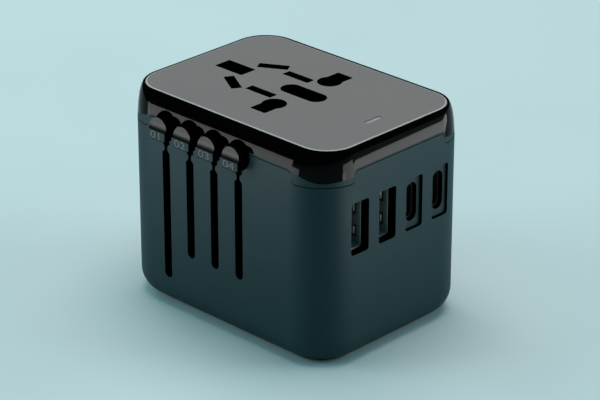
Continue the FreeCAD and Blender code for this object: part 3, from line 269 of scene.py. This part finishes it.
def rod(name, axis, start, radius, length, sides=48):
    """A round bar from a start point, along X, Y or Z."""
    turn = {"x": (0, math.pi / 2, 0), "y": (math.pi / 2, 0, 0), "z": (0, 0, 0)}[axis]
    way = Vector([float(axis == letter) for letter in "xyz"])
    let_go()
    bpy.ops.mesh.primitive_cylinder_add(vertices=sides, radius=radius * MM, depth=length * MM,
                                        location=(Vector(start) + way * length / 2) * MM, rotation=turn)
    return settle(bpy.context.object, name)


def oblong(name, inset_len, inset_wid, low, high, steps=24, corner=None):
    """An upright form inside the housing, its corners following the outer ones."""
    half_len, half_wid = HALF_LEN - inset_len, HALF_WID - inset_wid
    item = block(name, (-half_len, half_len), (-half_wid, half_wid), (low, high))
    return bevel(item, along("z"), corner or CORNER - (inset_len + inset_wid) / 2, steps)


# Changes to solids
def bevel(item, wanted, width, steps):
    """Rounds the edges that wanted(start, end) picks, both ends in millimetres."""
    take(item)
    bpy.ops.object.mode_set(mode="EDIT")
    bpy.ops.mesh.select_mode(type="EDGE")
    bpy.ops.mesh.select_all(action="DESELECT")
    mesh = bmesh.from_edit_mesh(item.data)
    for edge in mesh.edges:
        start, end = (vert.co / MM for vert in edge.verts)
        edge.select_set(wanted(start, end))
    bmesh.update_edit_mesh(item.data)
    bpy.ops.mesh.bevel(offset_type="OFFSET", offset=width * MM, segments=steps, affect="EDGES")
    bpy.ops.object.mode_set(mode="OBJECT")
    return item


def along(axis):
    """A test for edges that run along one axis."""
    others = [index for index in range(3) if index != "xyz".index(axis)]
    return lambda start, end: all(abs(start[index] - end[index]) < 1e-3 for index in others)


def flat_at(level):
    """A test for level edges at one height."""
    return lambda start, end: abs(start.z - level) < 1e-3 and abs(end.z - level) < 1e-3


def flat_in_front(level):
    """A test for edges that lie in one upright plane across the front."""
    return lambda start, end: abs(start.y - level) < 1e-3 and abs(end.y - level) < 1e-3


def weld(item, gap):
    """Joins points closer than a gap in millimetres."""
    take(item)
    bpy.ops.object.mode_set(mode="EDIT")
    bpy.ops.mesh.select_all(action="SELECT")
    bpy.ops.mesh.remove_doubles(threshold=gap * MM)
    bpy.ops.object.mode_set(mode="OBJECT")
    return item


def combine(item, tool, how, keep_tool=False):
    """One solid cut by, joined to or kept inside another. Cut faces take the tool's material."""
    if item.data.materials and not tool.data.materials:
        paint(tool, item.data.materials[0])
    take(item)
    step = item.modifiers.new(how, "BOOLEAN")
    step.operation = how
    step.solver = "EXACT"
    step.object = tool
    step.material_mode = "TRANSFER"
    bpy.ops.object.modifier_apply(modifier=step.name)
    if not keep_tool:
        bpy.data.objects.remove(tool)
    return item


def cut(item, tool, keep_tool=False):
    return combine(item, tool, "DIFFERENCE", keep_tool)


def inside(item, tool):
    return combine(item, tool, "INTERSECT")


def ease_edges(item, width, degrees=40, steps=2):
    """A small bevel on every sharp edge, so that edges catch the light."""
    take(item)
    step = item.modifiers.new("eased", "BEVEL")
    step.width = width * MM
    step.segments = steps
    step.limit_method = "ANGLE"
    step.angle_limit = math.radians(degrees)
    step.use_clamp_overlap = True
    bpy.ops.object.modifier_apply(modifier=step.name)
    return item


def shade(item, degrees=32, flats=True):
    """Smooth shading up to an angle, with large flat faces left flat where asked."""
    take(item)
    bpy.ops.object.shade_smooth_by_angle(angle=math.radians(degrees))
    if not flats:
        return item
    step = item.modifiers.new("weighted", "WEIGHTED_NORMAL")
    step.keep_sharp = True
    step.weight = 80
    bpy.ops.object.modifier_apply(modifier=step.name)
    return item


# Materials
def surface(name, colour, rough, grain=(0, 0), mottle=(0, 9), metal=0.0, specular=0.5, wear=0.0):
    """A plain surface with fine grain and slow changes of tone and of gloss, on object coordinates."""
    material = bpy.data.materials.new(name)
    material.use_nodes = True
    tree = material.node_tree
    shader = tree.nodes["Principled BSDF"]
    shader.inputs["Metallic"].default_value = metal
    shader.inputs["Specular IOR Level"].default_value = specular
    place = tree.nodes.new("ShaderNodeTexCoord")

    def noise(size_mm, detail=3.0):
        node = tree.nodes.new("ShaderNodeTexNoise")
        node.inputs["Scale"].default_value = 1.0 / (size_mm * MM)
        node.inputs["Detail"].default_value = detail
        tree.links.new(place.outputs["Object"], node.inputs["Vector"])
        return node

    change, change_size = mottle
    tone = tree.nodes.new("ShaderNodeMix")
    tone.data_type = "RGBA"
    tone.inputs["A"].default_value = (*[part * (1 - change) for part in colour], 1)
    tone.inputs["B"].default_value = (*[min(1, part * (1 + change)) for part in colour], 1)
    tree.links.new(noise(change_size).outputs["Fac"], tone.inputs["Factor"])
    tree.links.new(tone.outputs["Result"], shader.inputs["Base Color"])
    gloss = tree.nodes.new("ShaderNodeMapRange")
    gloss.inputs["To Min"].default_value = rough * (1 - wear)
    gloss.inputs["To Max"].default_value = rough * (1 + wear)
    tree.links.new(noise(change_size / 3).outputs["Fac"], gloss.inputs["Value"])
    tree.links.new(gloss.outputs["Result"], shader.inputs["Roughness"])
    depth, size = grain
    if depth:
        bump = tree.nodes.new("ShaderNodeBump")
        bump.inputs["Strength"].default_value = 1.0
        bump.inputs["Distance"].default_value = depth * MM
        tree.links.new(noise(size, 2.0).outputs["Fac"], bump.inputs["Height"])
        tree.links.new(bump.outputs["Normal"], shader.inputs["Normal"])
    return material


# The housing's outer form, from which its shells are cut
def outer_form():
    level = HIGH - SHOULDER
    form = oblong("form", 0, 0, 0, level, corner=OUTER_CORNER)
    bevel(form, flat_at(0), FOOT, 14)
    take(form)
    bpy.ops.object.mode_set(mode="EDIT")
    bpy.ops.mesh.select_mode(type="FACE")
    bpy.ops.mesh.select_all(action="DESELECT")
    mesh = bmesh.from_edit_mesh(form.data)
    for face in mesh.faces:
        face.select_set(all(abs(vert.co.z / MM - level) < 1e-3 for vert in face.verts))
    bmesh.update_edit_mesh(form.data)
    outline = (HALF_LEN, HALF_WID, OUTER_CORNER)
    climbed = 0.0
    for number in range(1, SHOULDER_BANDS + 1):
        angle = math.pi / 2 * number / SHOULDER_BANDS
        draw = 1 - math.cos(angle)
        climb = SHOULDER * math.sin(angle)
        bpy.ops.mesh.extrude_region_move(TRANSFORM_OT_translate={"value": (0, 0, (climb - climbed) * MM)})
        climbed = climb
        corner = OUTER_CORNER + (TOP_CORNER - OUTER_CORNER) * draw
        smaller = (HALF_LEN - RIM_LEN * draw, HALF_WID - RIM_WID * draw, corner)
        mesh = bmesh.from_edit_mesh(form.data)
        for vert in mesh.verts:
            if vert.select:
                follow_outline(vert, outline, smaller)
        bmesh.update_edit_mesh(form.data)
        outline = smaller
    bpy.ops.object.mode_set(mode="OBJECT")
    return form


def follow_outline(vert, old, new):
    """Moves a corner's point from one oblong outline to another: half length, half width, corner radius."""
    for index in (0, 1):
        side = math.copysign(1, vert.co[index])
        arm = vert.co[index] / MM - side * (old[index] - old[2])
        vert.co[index] = (side * (new[index] - new[2]) + arm * new[2] / old[2]) * MM


def dipped(name, axis, drop, dip, bend=DIP_BEND, begin=None, run=0.0):
    """All above a seam that is level along one side and bends down at both ends.

    It bends down in an S from begin, or over a longer run.
    """
    level = HIGH - drop
    half = {"x": HALF_LEN, "y": HALF_WID}[axis]
    start = half - CORNER + bend if begin is None else begin
    far = HALF_LEN + 3
    below = 3

    def spans(across, z_span):
        wide = (-far, far)
        return (across, wide, z_span) if axis == "x" else (wide, across, z_span)

    zone = block(name, *spans((-far, far), (level - dip, HIGH + 2)))
    belly = block(name + "_belly", *spans((-start, start), (level - dip - below, level)))
    lengthwise = along("y" if axis == "x" else "x")
    index = "xyz".index(axis)
    for vert in belly.data.vertices:
        if vert.co.z / MM < level - 1:
            vert.co[index] += math.copysign(run * (dip + below) / dip, vert.co[index]) * MM
    bevel(belly, lambda a, b: lengthwise(a, b) and abs(a.z - level) < 1e-3, bend, 10)
    cut(zone, belly)

    def lower_inner(a, b):
        at_start = abs(abs(a[index]) - start - run) < 1e-3
        return lengthwise(a, b) and at_start and abs(a.z - level + dip) < 1e-3

    return bevel(zone, lower_inner, bend, 10)


def above_seam(name, drop):
    """All above the seam between the housing's two shells."""
    return inside(dipped(name, "x", drop, SEAM_DIP), dipped(name + "_flank", "y", drop, SEAM_DIP))


def above_trim(name):
    """All above the crown's lower edge: a slow fall along the front and back, and an S at the ends."""
    zone = dipped(name, "x", TRIM_DROP, TRIM_DIP, bend=1.2, begin=HALF_LEN - CORNER, run=7.5)
    flank = dipped(name + "_flank", "y", TRIM_DROP, TRIM_DIP, bend=0.9, begin=HALF_WID - CORNER + 1.6)
    inside(zone, flank)
    flatter = 1.8
    slope = dipped(name + "_slope", "y", TRIM_DROP + flatter, TRIM_DIP - flatter,
                   bend=0.4, begin=HALF_WID - CORNER + 3, run=5.0)
    return inside(zone, slope)


def slide_openings(name):
    """The round opening, throat and slot of each slide, through the wall."""
    front, deep = -HALF_WID - 1, WALL + 3.5
    half = SLOT_WIDE / 2
    tools = []
    for number, at in enumerate(SLIDE_X):
        tail = SLOT_LOW[number] + half
        tool = rod("%s_%d" % (name, number), "y", (at, front, KNOB_HIGH), RECESS_RAD, deep, 64)
        slot = block("slot", (at - half, at + half), (front, front + deep), (tail - half, KNOB_HIGH))
        low_end = along("y")
        bevel(slot, lambda a, b: low_end(a, b) and a.z < tail, half * 0.999, 12)
        combine(tool, slot, "UNION")
        for side in SIDES:
            nub_at = at + side * (THROAT_WIDE / 2 + NUB_RAD)
            cut(tool, rod("nub", "y", (nub_at, front - 1, THROAT_HIGH), NUB_RAD, deep + 2, 32))
        tools.append(tool)
    # Black on the cut walls of the openings: partly the housing's black plastic, partly painted shade inside
    # the openings.
    return paint(merge(tools), finish["inner_black"])


def port_openings(name):
    tools = []
    for number, at in enumerate(PORT_Y):
        tool = block("%s_%d" % (name, number), (HALF_LEN - WALL - 1, HALF_LEN + 1),
                     (at - PORT_WIDE / 2, at + PORT_WIDE / 2),
                     (PORT_HIGH - PORT_TALL / 2, PORT_HIGH + PORT_TALL / 2))
        tools.append(bevel(tool, along("x"), 0.7, 6))
    # Black on the window walls: partly the housing's black plastic, partly painted shade inside the windows.
    return paint(merge(tools), finish["inner_black"])


def body_shell(form, openings):
    shell = twin(form, "body_shell")
    paint(shell, finish["body_teal"])
    cut(shell, above_seam("seam", SEAM_DROP + SEAM_GAP))
    cavity = oblong("cavity", WALL, WALL, WALL + 0.5, HIGH + 2, 16)
    bevel(cavity, flat_at(WALL + 0.5), 3.0, 4)
    cut(shell, paint(cavity, finish["inner_black"]))
    cut(shell, oblong("base_window", 3.2, 3.2, -1, 4, 16))
    cut(shell, openings, keep_tool=True)
    cut(shell, port_openings("port"))
    fit(shade(shell), "housing", "body_teal", "lower_shell")


def seam_ring(form, openings):
    """The thin line between body and crown, with its skirt inside."""
    ring = twin(form, "seam_ring")
    paint(ring, finish["body_teal"])
    inside(ring, above_seam("ring_zone", SEAM_DROP))
    cut(ring, above_trim("crown_zone"))
    cut(ring, oblong("ring_bore", SKIRT_OUT + 0.5, SKIRT_OUT + 0.5, 30, HIGH + 2))
    skirt = oblong("skirt", SKIRT_OUT, SKIRT_OUT, SKIRT_LOW, HIGH - PLATE_THICK - 1.5)
    paint(skirt, finish["body_teal"])
    cut(skirt, oblong("skirt_bore", SKIRT_IN, SKIRT_IN, 30, HIGH + 2))
    combine(ring, skirt, "UNION")
    cut(ring, block("between_knobs", (SLIDE_X[0], SLIDE_X[3]), (-HALF_WID - 1, -HALF_WID + WALL + 3),
                    (40, HIGH)))
    cut(ring, openings, keep_tool=True)
    fit(shade(ring), "housing", "body_teal", "upper_ring")


def gloss_crown(form, openings):
    crown = rename(form, "gloss_crown")
    paint(crown, finish["crown_black"])
    zone = above_trim("trim_zone")
    low_band = block("low_band", (SLIDE_X[0], SLIDE_X[3]), (-HALF_WID - 1, -HALF_WID + WALL),
                     (HIGH - SEAM_DROP, HIGH - TRIM_DROP + 0.5))
    combine(zone, low_band, "UNION")
    inside(crown, zone)
    plate_low = HIGH - PLATE_THICK
    ledge_low = plate_low - LEDGE_THICK
    cut(crown, oblong("crown_bore", WALL, WALL, 30, ledge_low))
    cut(crown, oblong("ledge_bore", RIM_LEN + LEDGE, RIM_WID + LEDGE, ledge_low - 1, HIGH + 2,
                      corner=TOP_CORNER - LEDGE))
    cut(crown, oblong("plate_bed", RIM_LEN + BED_GAP, RIM_WID + BED_GAP, plate_low, HIGH + 2,
                      corner=TOP_CORNER - BED_GAP))
    cut(crown, openings)
    fit(shade(crown, flats=False), "housing", "crown_black", "crown")


def housing_shells():
    form = outer_form()
    openings = slide_openings("opening")
    body_shell(form, openings)
    seam_ring(form, openings)
    gloss_crown(form, openings)


# The socket's face
def socket_tools(low, high):
    """The socket's holes, each as an upright solid."""
    x, y = SOCKET_X, SOCKET_Y

    def hole(name, x_span, y_span, corner, steps=4):
        item = block(name, x_span, y_span, (low, high))
        return bevel(item, along("z"), corner, steps)

    earth_x = x - EARTH_BACK
    oval_x = x + 0.5
    tools = [hole("earth", (earth_x - 4.47, earth_x + 4.47), (y - 2.42, y + 2.42), 0.3),
             hole("oval", (oval_x - 6.6, oval_x + 6.6), (y - 2.6, y + 2.6), 2.599, 16)]
    for side in SIDES:
        round_y = y + side * 9.3
        pole = hole("pole", (x - 2.42, x + 2.42), sorted((round_y, y + side * 14.83)), 0.3)
        combine(pole, rod("pole_round", "z", (x, round_y, low), 3.0, high - low, 56), "UNION")
        tools.append(pole)
        flat_x, flat_y = x - 7.3, y + side * 6.22
        flat = hole("flat", (flat_x - 4.1, flat_x + 4.1), (flat_y - 1.23, flat_y + 1.23), 0.2)
        tools.append(flat)
        tilt = hole("tilt", (-3.8, 3.8), (-1.3, 1.3), 0.2)
        tilt.rotation_euler.z = math.radians(30 * side)
        tilt.location = ((x - 16.15) * MM, (y + side * 6.85) * MM, 0)
        tools.append(settle(tilt, "tilt"))
    return paint(merge(tools), finish["inner_black"])


def socket_face():
    plate_low = HIGH - PLATE_THICK
    plate = oblong("socket_plate", RIM_LEN + PLATE_GAP, RIM_WID + PLATE_GAP, plate_low, HIGH,
                   corner=TOP_CORNER - PLATE_GAP)
    bevel(plate, flat_at(HIGH), PLATE_BEVEL, 3)
    paint(plate, finish["plate_grey"])
    # The bevelled rim takes a lighter grey: a painted highlight along the plate's edge.
    plate.data.materials.append(finish["plate_edge_highlight"])
    for face in plate.data.polygons:
        if 0.2 < face.normal.z < 0.98:
            face.material_index = 1
    cut(plate, socket_tools(plate_low - 1, HIGH + 1))
    led_low, led_high = (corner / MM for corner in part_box("led_window"))
    grow = 0.05
    bar = block("led_hole", (led_low.x - grow, led_high.x + grow), (led_low.y - grow, led_high.y + grow),
                (plate_low - 1, HIGH + 1))
    cut(plate, bevel(bar, along("z"), 0.6, 8))
    fit(shade(plate, 25), "housing", "plate_grey", "top_plate")
    window = block("light_bar", (led_low.x, led_high.x), (led_low.y, led_high.y), (led_low.z, led_high.z))
    bevel(window, along("z"), 0.55, 8)
    bevel(window, flat_at(led_high.z), 0.12, 3)
    paint(window, finish["led_window"])
    fit(shade(window), "housing", "led_window", "led_window")


# Slide buttons, from the back to the front: barrel, scoop, label plate
def tombstone(name, at, y_span, low=KNOB_HIGH - KNOB_BELOW):
    """The outline of a knob: round above, square below."""
    item = block(name, (at - KNOB_RAD, at + KNOB_RAD), y_span, (low, KNOB_HIGH + KNOB_RAD))
    lengthwise = along("y")
    bevel(item, lambda a, b: lengthwise(a, b) and a.z > KNOB_HIGH, KNOB_RAD * 0.999, 20)
    bevel(item, lambda a, b: lengthwise(a, b) and a.z < KNOB_HIGH - 2, 0.45, 4)
    return weld(item, 0.03)


def button_barrel(number, at, front):
    """The part that stands off the wall, with the stem through the slot and the head behind it."""
    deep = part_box("knob_%d" % number)[1].y / MM
    back = -HALF_WID - KNOB_STAND_OFF
    barrel = tombstone("barrel_%d" % number, at, (front, back))
    paint(barrel, finish["crown_black"])
    across = (at - STEM_HALF, at + STEM_HALF)
    stem = block("stem", across, (back - 0.2, deep), (KNOB_HIGH - 2.6, KNOB_HIGH + 2.2))
    tail = block("tail", across, (-HALF_WID + 0.4, deep), (KNOB_HIGH - 6.6, KNOB_HIGH))
    combine(stem, tail, "UNION")
    combine(barrel, paint(stem, finish["inner_black"]), "UNION")
    head = block("head", (at - HEAD_HALF, at + HEAD_HALF), (deep - HEAD_THICK, deep),
                 (KNOB_HIGH - HEAD_TALL, KNOB_HIGH + HEAD_TALL))
    combine(barrel, paint(head, finish["inner_black"]), "UNION")
    fit(shade(barrel, flats=False), "button_%d" % number, "crown_black", "knob_%d" % number)


def button_scoop(number, at, front, back):
    """The thumb's hollow above a ledge, with a black strip below it: painted shade under the label plate."""
    scoop = tombstone("scoop_%d" % number, at, (front, back))
    paint(scoop, finish["knob_gloss"])
    bevel(scoop, flat_in_front(front), 0.35, 8)
    hollow_rad = (SCOOP_REACH ** 2 + SCOOP_DEEP ** 2) / SCOOP_DEEP / 2
    rise_low = SCOOP_LEDGE + SCOOP_REACH
    cut(scoop, rod("hollow", "x", (at - 5, front + SCOOP_DEEP - hollow_rad, rise_low), hollow_rad, 10, 120))
    cut(scoop, block("rise", (at - 5, at + 5), (front - 1, front + SCOOP_DEEP), (rise_low, KNOB_HIGH + 4)))
    # Painted shade: the faces below the ledge are black, so that a dark line shows under the label plate.
    scoop.data.materials.append(finish["inner_black"])
    for face in scoop.data.polygons:
        if face.center.z / MM < SCOOP_LEDGE - 0.02:
            face.material_index = 1
    fit(shade(scoop, 14, flats=False), "button_%d" % number, "crown_black")


def button_label(number, at, front, back, cap_back):
    label = tombstone("label_%d" % number, at, (front + FIGURE_ROOM, back), low=LABEL_LOW)
    cut(label, block("upper", (at - 4, at + 4), (front - 1, cap_back + 1), (SCOOP_LEDGE, KNOB_HIGH + 5)))
    paint(label, finish["knob_teal"])
    figures = raised_figures("%02d" % number, at, front + 0.04, LABEL_LOW + 0.2)
    label = merge([label, figures])
    fit(shade(label), "button_%d" % number, "knob_teal", "knob_cap_%d" % number)


def raised_figures(text, at, front, low):
    """Plain figures that stand out of a knob's label plate."""
    let_go()
    bpy.ops.object.text_add(location=(0, 0, 0))
    words = bpy.context.object
    words.data.body = text
    words.data.size = FIGURE_TALL * MM
    words.data.extrude = 0.04 * MM
    words.data.align_x = "CENTER"
    words.data.resolution_u = 4
    take(words)
    bpy.ops.object.convert(target="MESH")
    words = bpy.context.object
    paint(words, finish["figure_grey"])
    words.rotation_euler = (math.pi / 2, 0, 0)
    words.scale = (FIGURE_STRETCH, 1, 1)
    words.location = (at * MM, front * MM, low * MM)
    return settle(words, "figures")


def slide_button(number):
    at = SLIDE_X[number - 1]
    cap_low, cap_high = (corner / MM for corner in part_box("knob_cap_%d" % number))
    scoop_front = cap_low.y + LABEL_PROUD
    button_barrel(number, at, cap_high.y)
    button_scoop(number, at, scoop_front, cap_high.y)
    button_label(number, at, cap_low.y, scoop_front, cap_high.y)


# Ports
def slim_inserts():
    """The body-coloured inserts that narrow two windows to an oval."""
    for index in (1, 2):
        at = PORT_Y[index + 1]
        low, high = (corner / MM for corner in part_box("usb_c_insert_%d" % index))
        insert = block("insert_%d" % index, (low.x, high.x), (low.y, high.y), (low.z, high.z - 0.06))
        bevel(insert, along("x"), 0.65, 6)
        hole = block("oval", (low.x - 1, high.x + 1), (at - SLIM_HALF, at + SLIM_HALF),
                     (PORT_HIGH - SLIM_HALF_TALL, PORT_HIGH + SLIM_HALF_TALL))
        bevel(hole, along("x"), SLIM_HALF - 0.001, 14)
        paint(hole, finish["inner_black"])
        paint(insert, finish["body_teal"])
        cut(insert, hole)
        fit(shade(insert), "housing", "body_teal", "usb_c_insert_%d" % index)


def wide_port_shells():
    """Folded metal shells with two sprung tongues in each wide side."""
    for index in (1, 2):
        low, high = (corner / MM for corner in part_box("usb_a_shell_%d" % index))
        shell = block("jack_%d" % index, (low.x, high.x), (low.y, high.y), (low.z, high.z))
        paint(bevel(shell, along("x"), 0.5, 4), finish["port_metal"])
        hollow = block("hollow", (low.x + SHEET, high.x + 1), (low.y + SHEET, high.y - SHEET),
                       (low.z + SHEET, high.z - SHEET))
        cut(shell, bevel(hollow, along("x"), 0.2, 3))
        mouth = high.x
        for side in SIDES:
            mid = PORT_HIGH + FINGER_SHIFT + side * FINGER_APART
            gap = block("gap", (mouth - 5.6, mouth - 1.25), (low.y - 1, high.y + 1), (mid - 1.5, mid + 1.5))
            cut(shell, gap)
            for wall, inward in ((low.y, 1), (high.y, -1)):
                span = sorted((wall + inward * 0.02, wall + inward * 0.42))
                # Each tongue is a real bump, painted lighter than the shell: a painted sheen where it
                # catches the light.
                finger = block("finger", (mouth - 6.0, mouth - 1.85), span, (mid - 0.9, mid + 0.9))
                paint(ease_edges(finger, 0.12, 50), finish["finger_steel_and_sheen"])
                combine(shell, finger, "UNION")
        fit(shade(shell), "housing", "port_metal", "usb_a_shell_%d" % index)


# Pieces that keep the shapes of their solids
def dress_the_rest():
    """Every CAD node that stays gets its procedural material."""
    for node, item in nodes.items():
        item.data.materials.clear()
        item.data.materials.append(finish[slot_of_node[node]])


def welded(node, look=None):
    """A smooth copy of a CAD node that stands for it."""
    item = bpy.data.objects.new(node + "_finished", nodes[node].data.copy())
    bpy.context.scene.collection.objects.link(item)
    weld(item, 0.001)
    slot = slot_of_node[node]
    paint(item, finish[look or slot])
    return fit(shade(item), body_of_node[node], slot, node)


def button_springs():
    """Each spring as a smooth copy of its CAD node, with a mesh of its own."""
    for number in range(1, 5):
        spring = "knob_spring_%d" % number
        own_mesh(welded(spring))


# The room
def pale_floor():
    """The floor lies just under the base plate, so that no faces coincide."""
    let_go()
    bpy.ops.mesh.primitive_plane_add(size=6, location=(0, 0, -0.05 * MM))
    floor = bpy.context.object
    floor.name = "floor"
    floor.data.materials.append(surface("floor_paint", (0.49, 0.60, 0.62), 0.75, grain=(0.02, 3.0),
                                        mottle=(0.035, 60), specular=0.0))


def panel(name, place, aim, size, power, colour, cards=False, roll=0.0):
    """An area light. A card shows only in gloss, and a lamp only in matt surfaces."""
    light = bpy.data.lights.new(name, "AREA")
    light.shape = "RECTANGLE"
    light.size, light.size_y = (side * MM for side in size)
    light.energy = power
    light.color = colour
    item = bpy.data.objects.new(name, light)
    bpy.context.scene.collection.objects.link(item)
    item.location = Vector(place) * MM
    turn = (Vector(aim) - Vector(place)).to_track_quat("-Z", "Y") @ Quaternion((0, 0, 1), math.radians(roll))
    item.rotation_euler = turn.to_euler()
    item.visible_camera = False
    item.visible_glossy = cards
    item.visible_diffuse = not cards
    item.visible_transmission = False
    return item


def lights():
    world = bpy.data.worlds.new("room")
    bpy.context.scene.world = world
    world.use_nodes = True
    back = world.node_tree.nodes["Background"]
    back.inputs["Color"].default_value = (0.62, 0.86, 0.95, 1)
    back.inputs["Strength"].default_value = 0.03
    cool = (0.78, 1.0, 1.0)
    white = (1, 1, 1)
    panel("overhead", (-60, 150, 900), (0, 0, 0), (700, 700), 6.6, (1.0, 0.80, 0.76))
    panel("sky", (0, -100, 1300), (0, 0, 0), (2600, 2600), 9.6, (0.09, 0.87, 1.0))
    panel("left_box", (-750, -750, 440), (0, 0, 0), (620, 620), 4.7, cool)
    panel("edge_box", (-780, 135, 430), (-60, 0, 0), (450, 450), 1.9, cool)
    panel("right_box", (750, 750, 440), (0, 0, 0), (620, 620), 4.7, cool)
    panel("front_card", (-62, -86, 30), (-62, -26, 30), (82, 46), 0.096, white, cards=True)
    panel("front_card_low", (-6, -86, 28), (-6, -26, 28), (30, 26), 0.020, white, cards=True)
    panel("side_card", (94, 65, 24), (34, 65, 24), (160, 24), 0.110, white, cards=True, roll=3.6)
    panel("side_card_near", (94, 4, 26), (34, 4, 26), (36, 29), 0.030, white, cards=True)


def camera():
    """The photo's camera, fitted to the housing's edges and the socket's holes."""
    view = bpy.data.cameras.new("camera")
    item = bpy.data.objects.new("camera", view)
    bpy.context.scene.collection.objects.link(item)
    azimuth, elevation = 44.17, 24.94
    focal_px, frame_px = 2686.3, 600
    view.sensor_width = 36
    view.lens = view.sensor_width * focal_px / frame_px
    item.location = Vector((405.02, -415.19, 295.14)) * MM
    item.rotation_euler = (math.radians(90 - elevation), 0, math.radians(azimuth))
    view.clip_start, view.clip_end = 0.05, 20
    bpy.context.scene.camera = item


finish = {name: surface(name, **look) for name, look in LOOKS.items()}
dress_the_rest()
housing_shells()
socket_face()
for number in range(1, 5):
    slide_button(number)
slim_inserts()
wide_port_shells()
for node in SMOOTHED:
    welded(node)
button_springs()
# The USB-C shells are near black: painted shade inside the oval openings.
for index in (1, 2):
    welded("usb_c_shell_%d" % index, "port_painted_shade")
    welded("usb_c_tongue_%d" % index, "port_tongue")
pale_floor()
lights()
camera()
bpy.context.scene.view_settings.view_transform = "Standard"
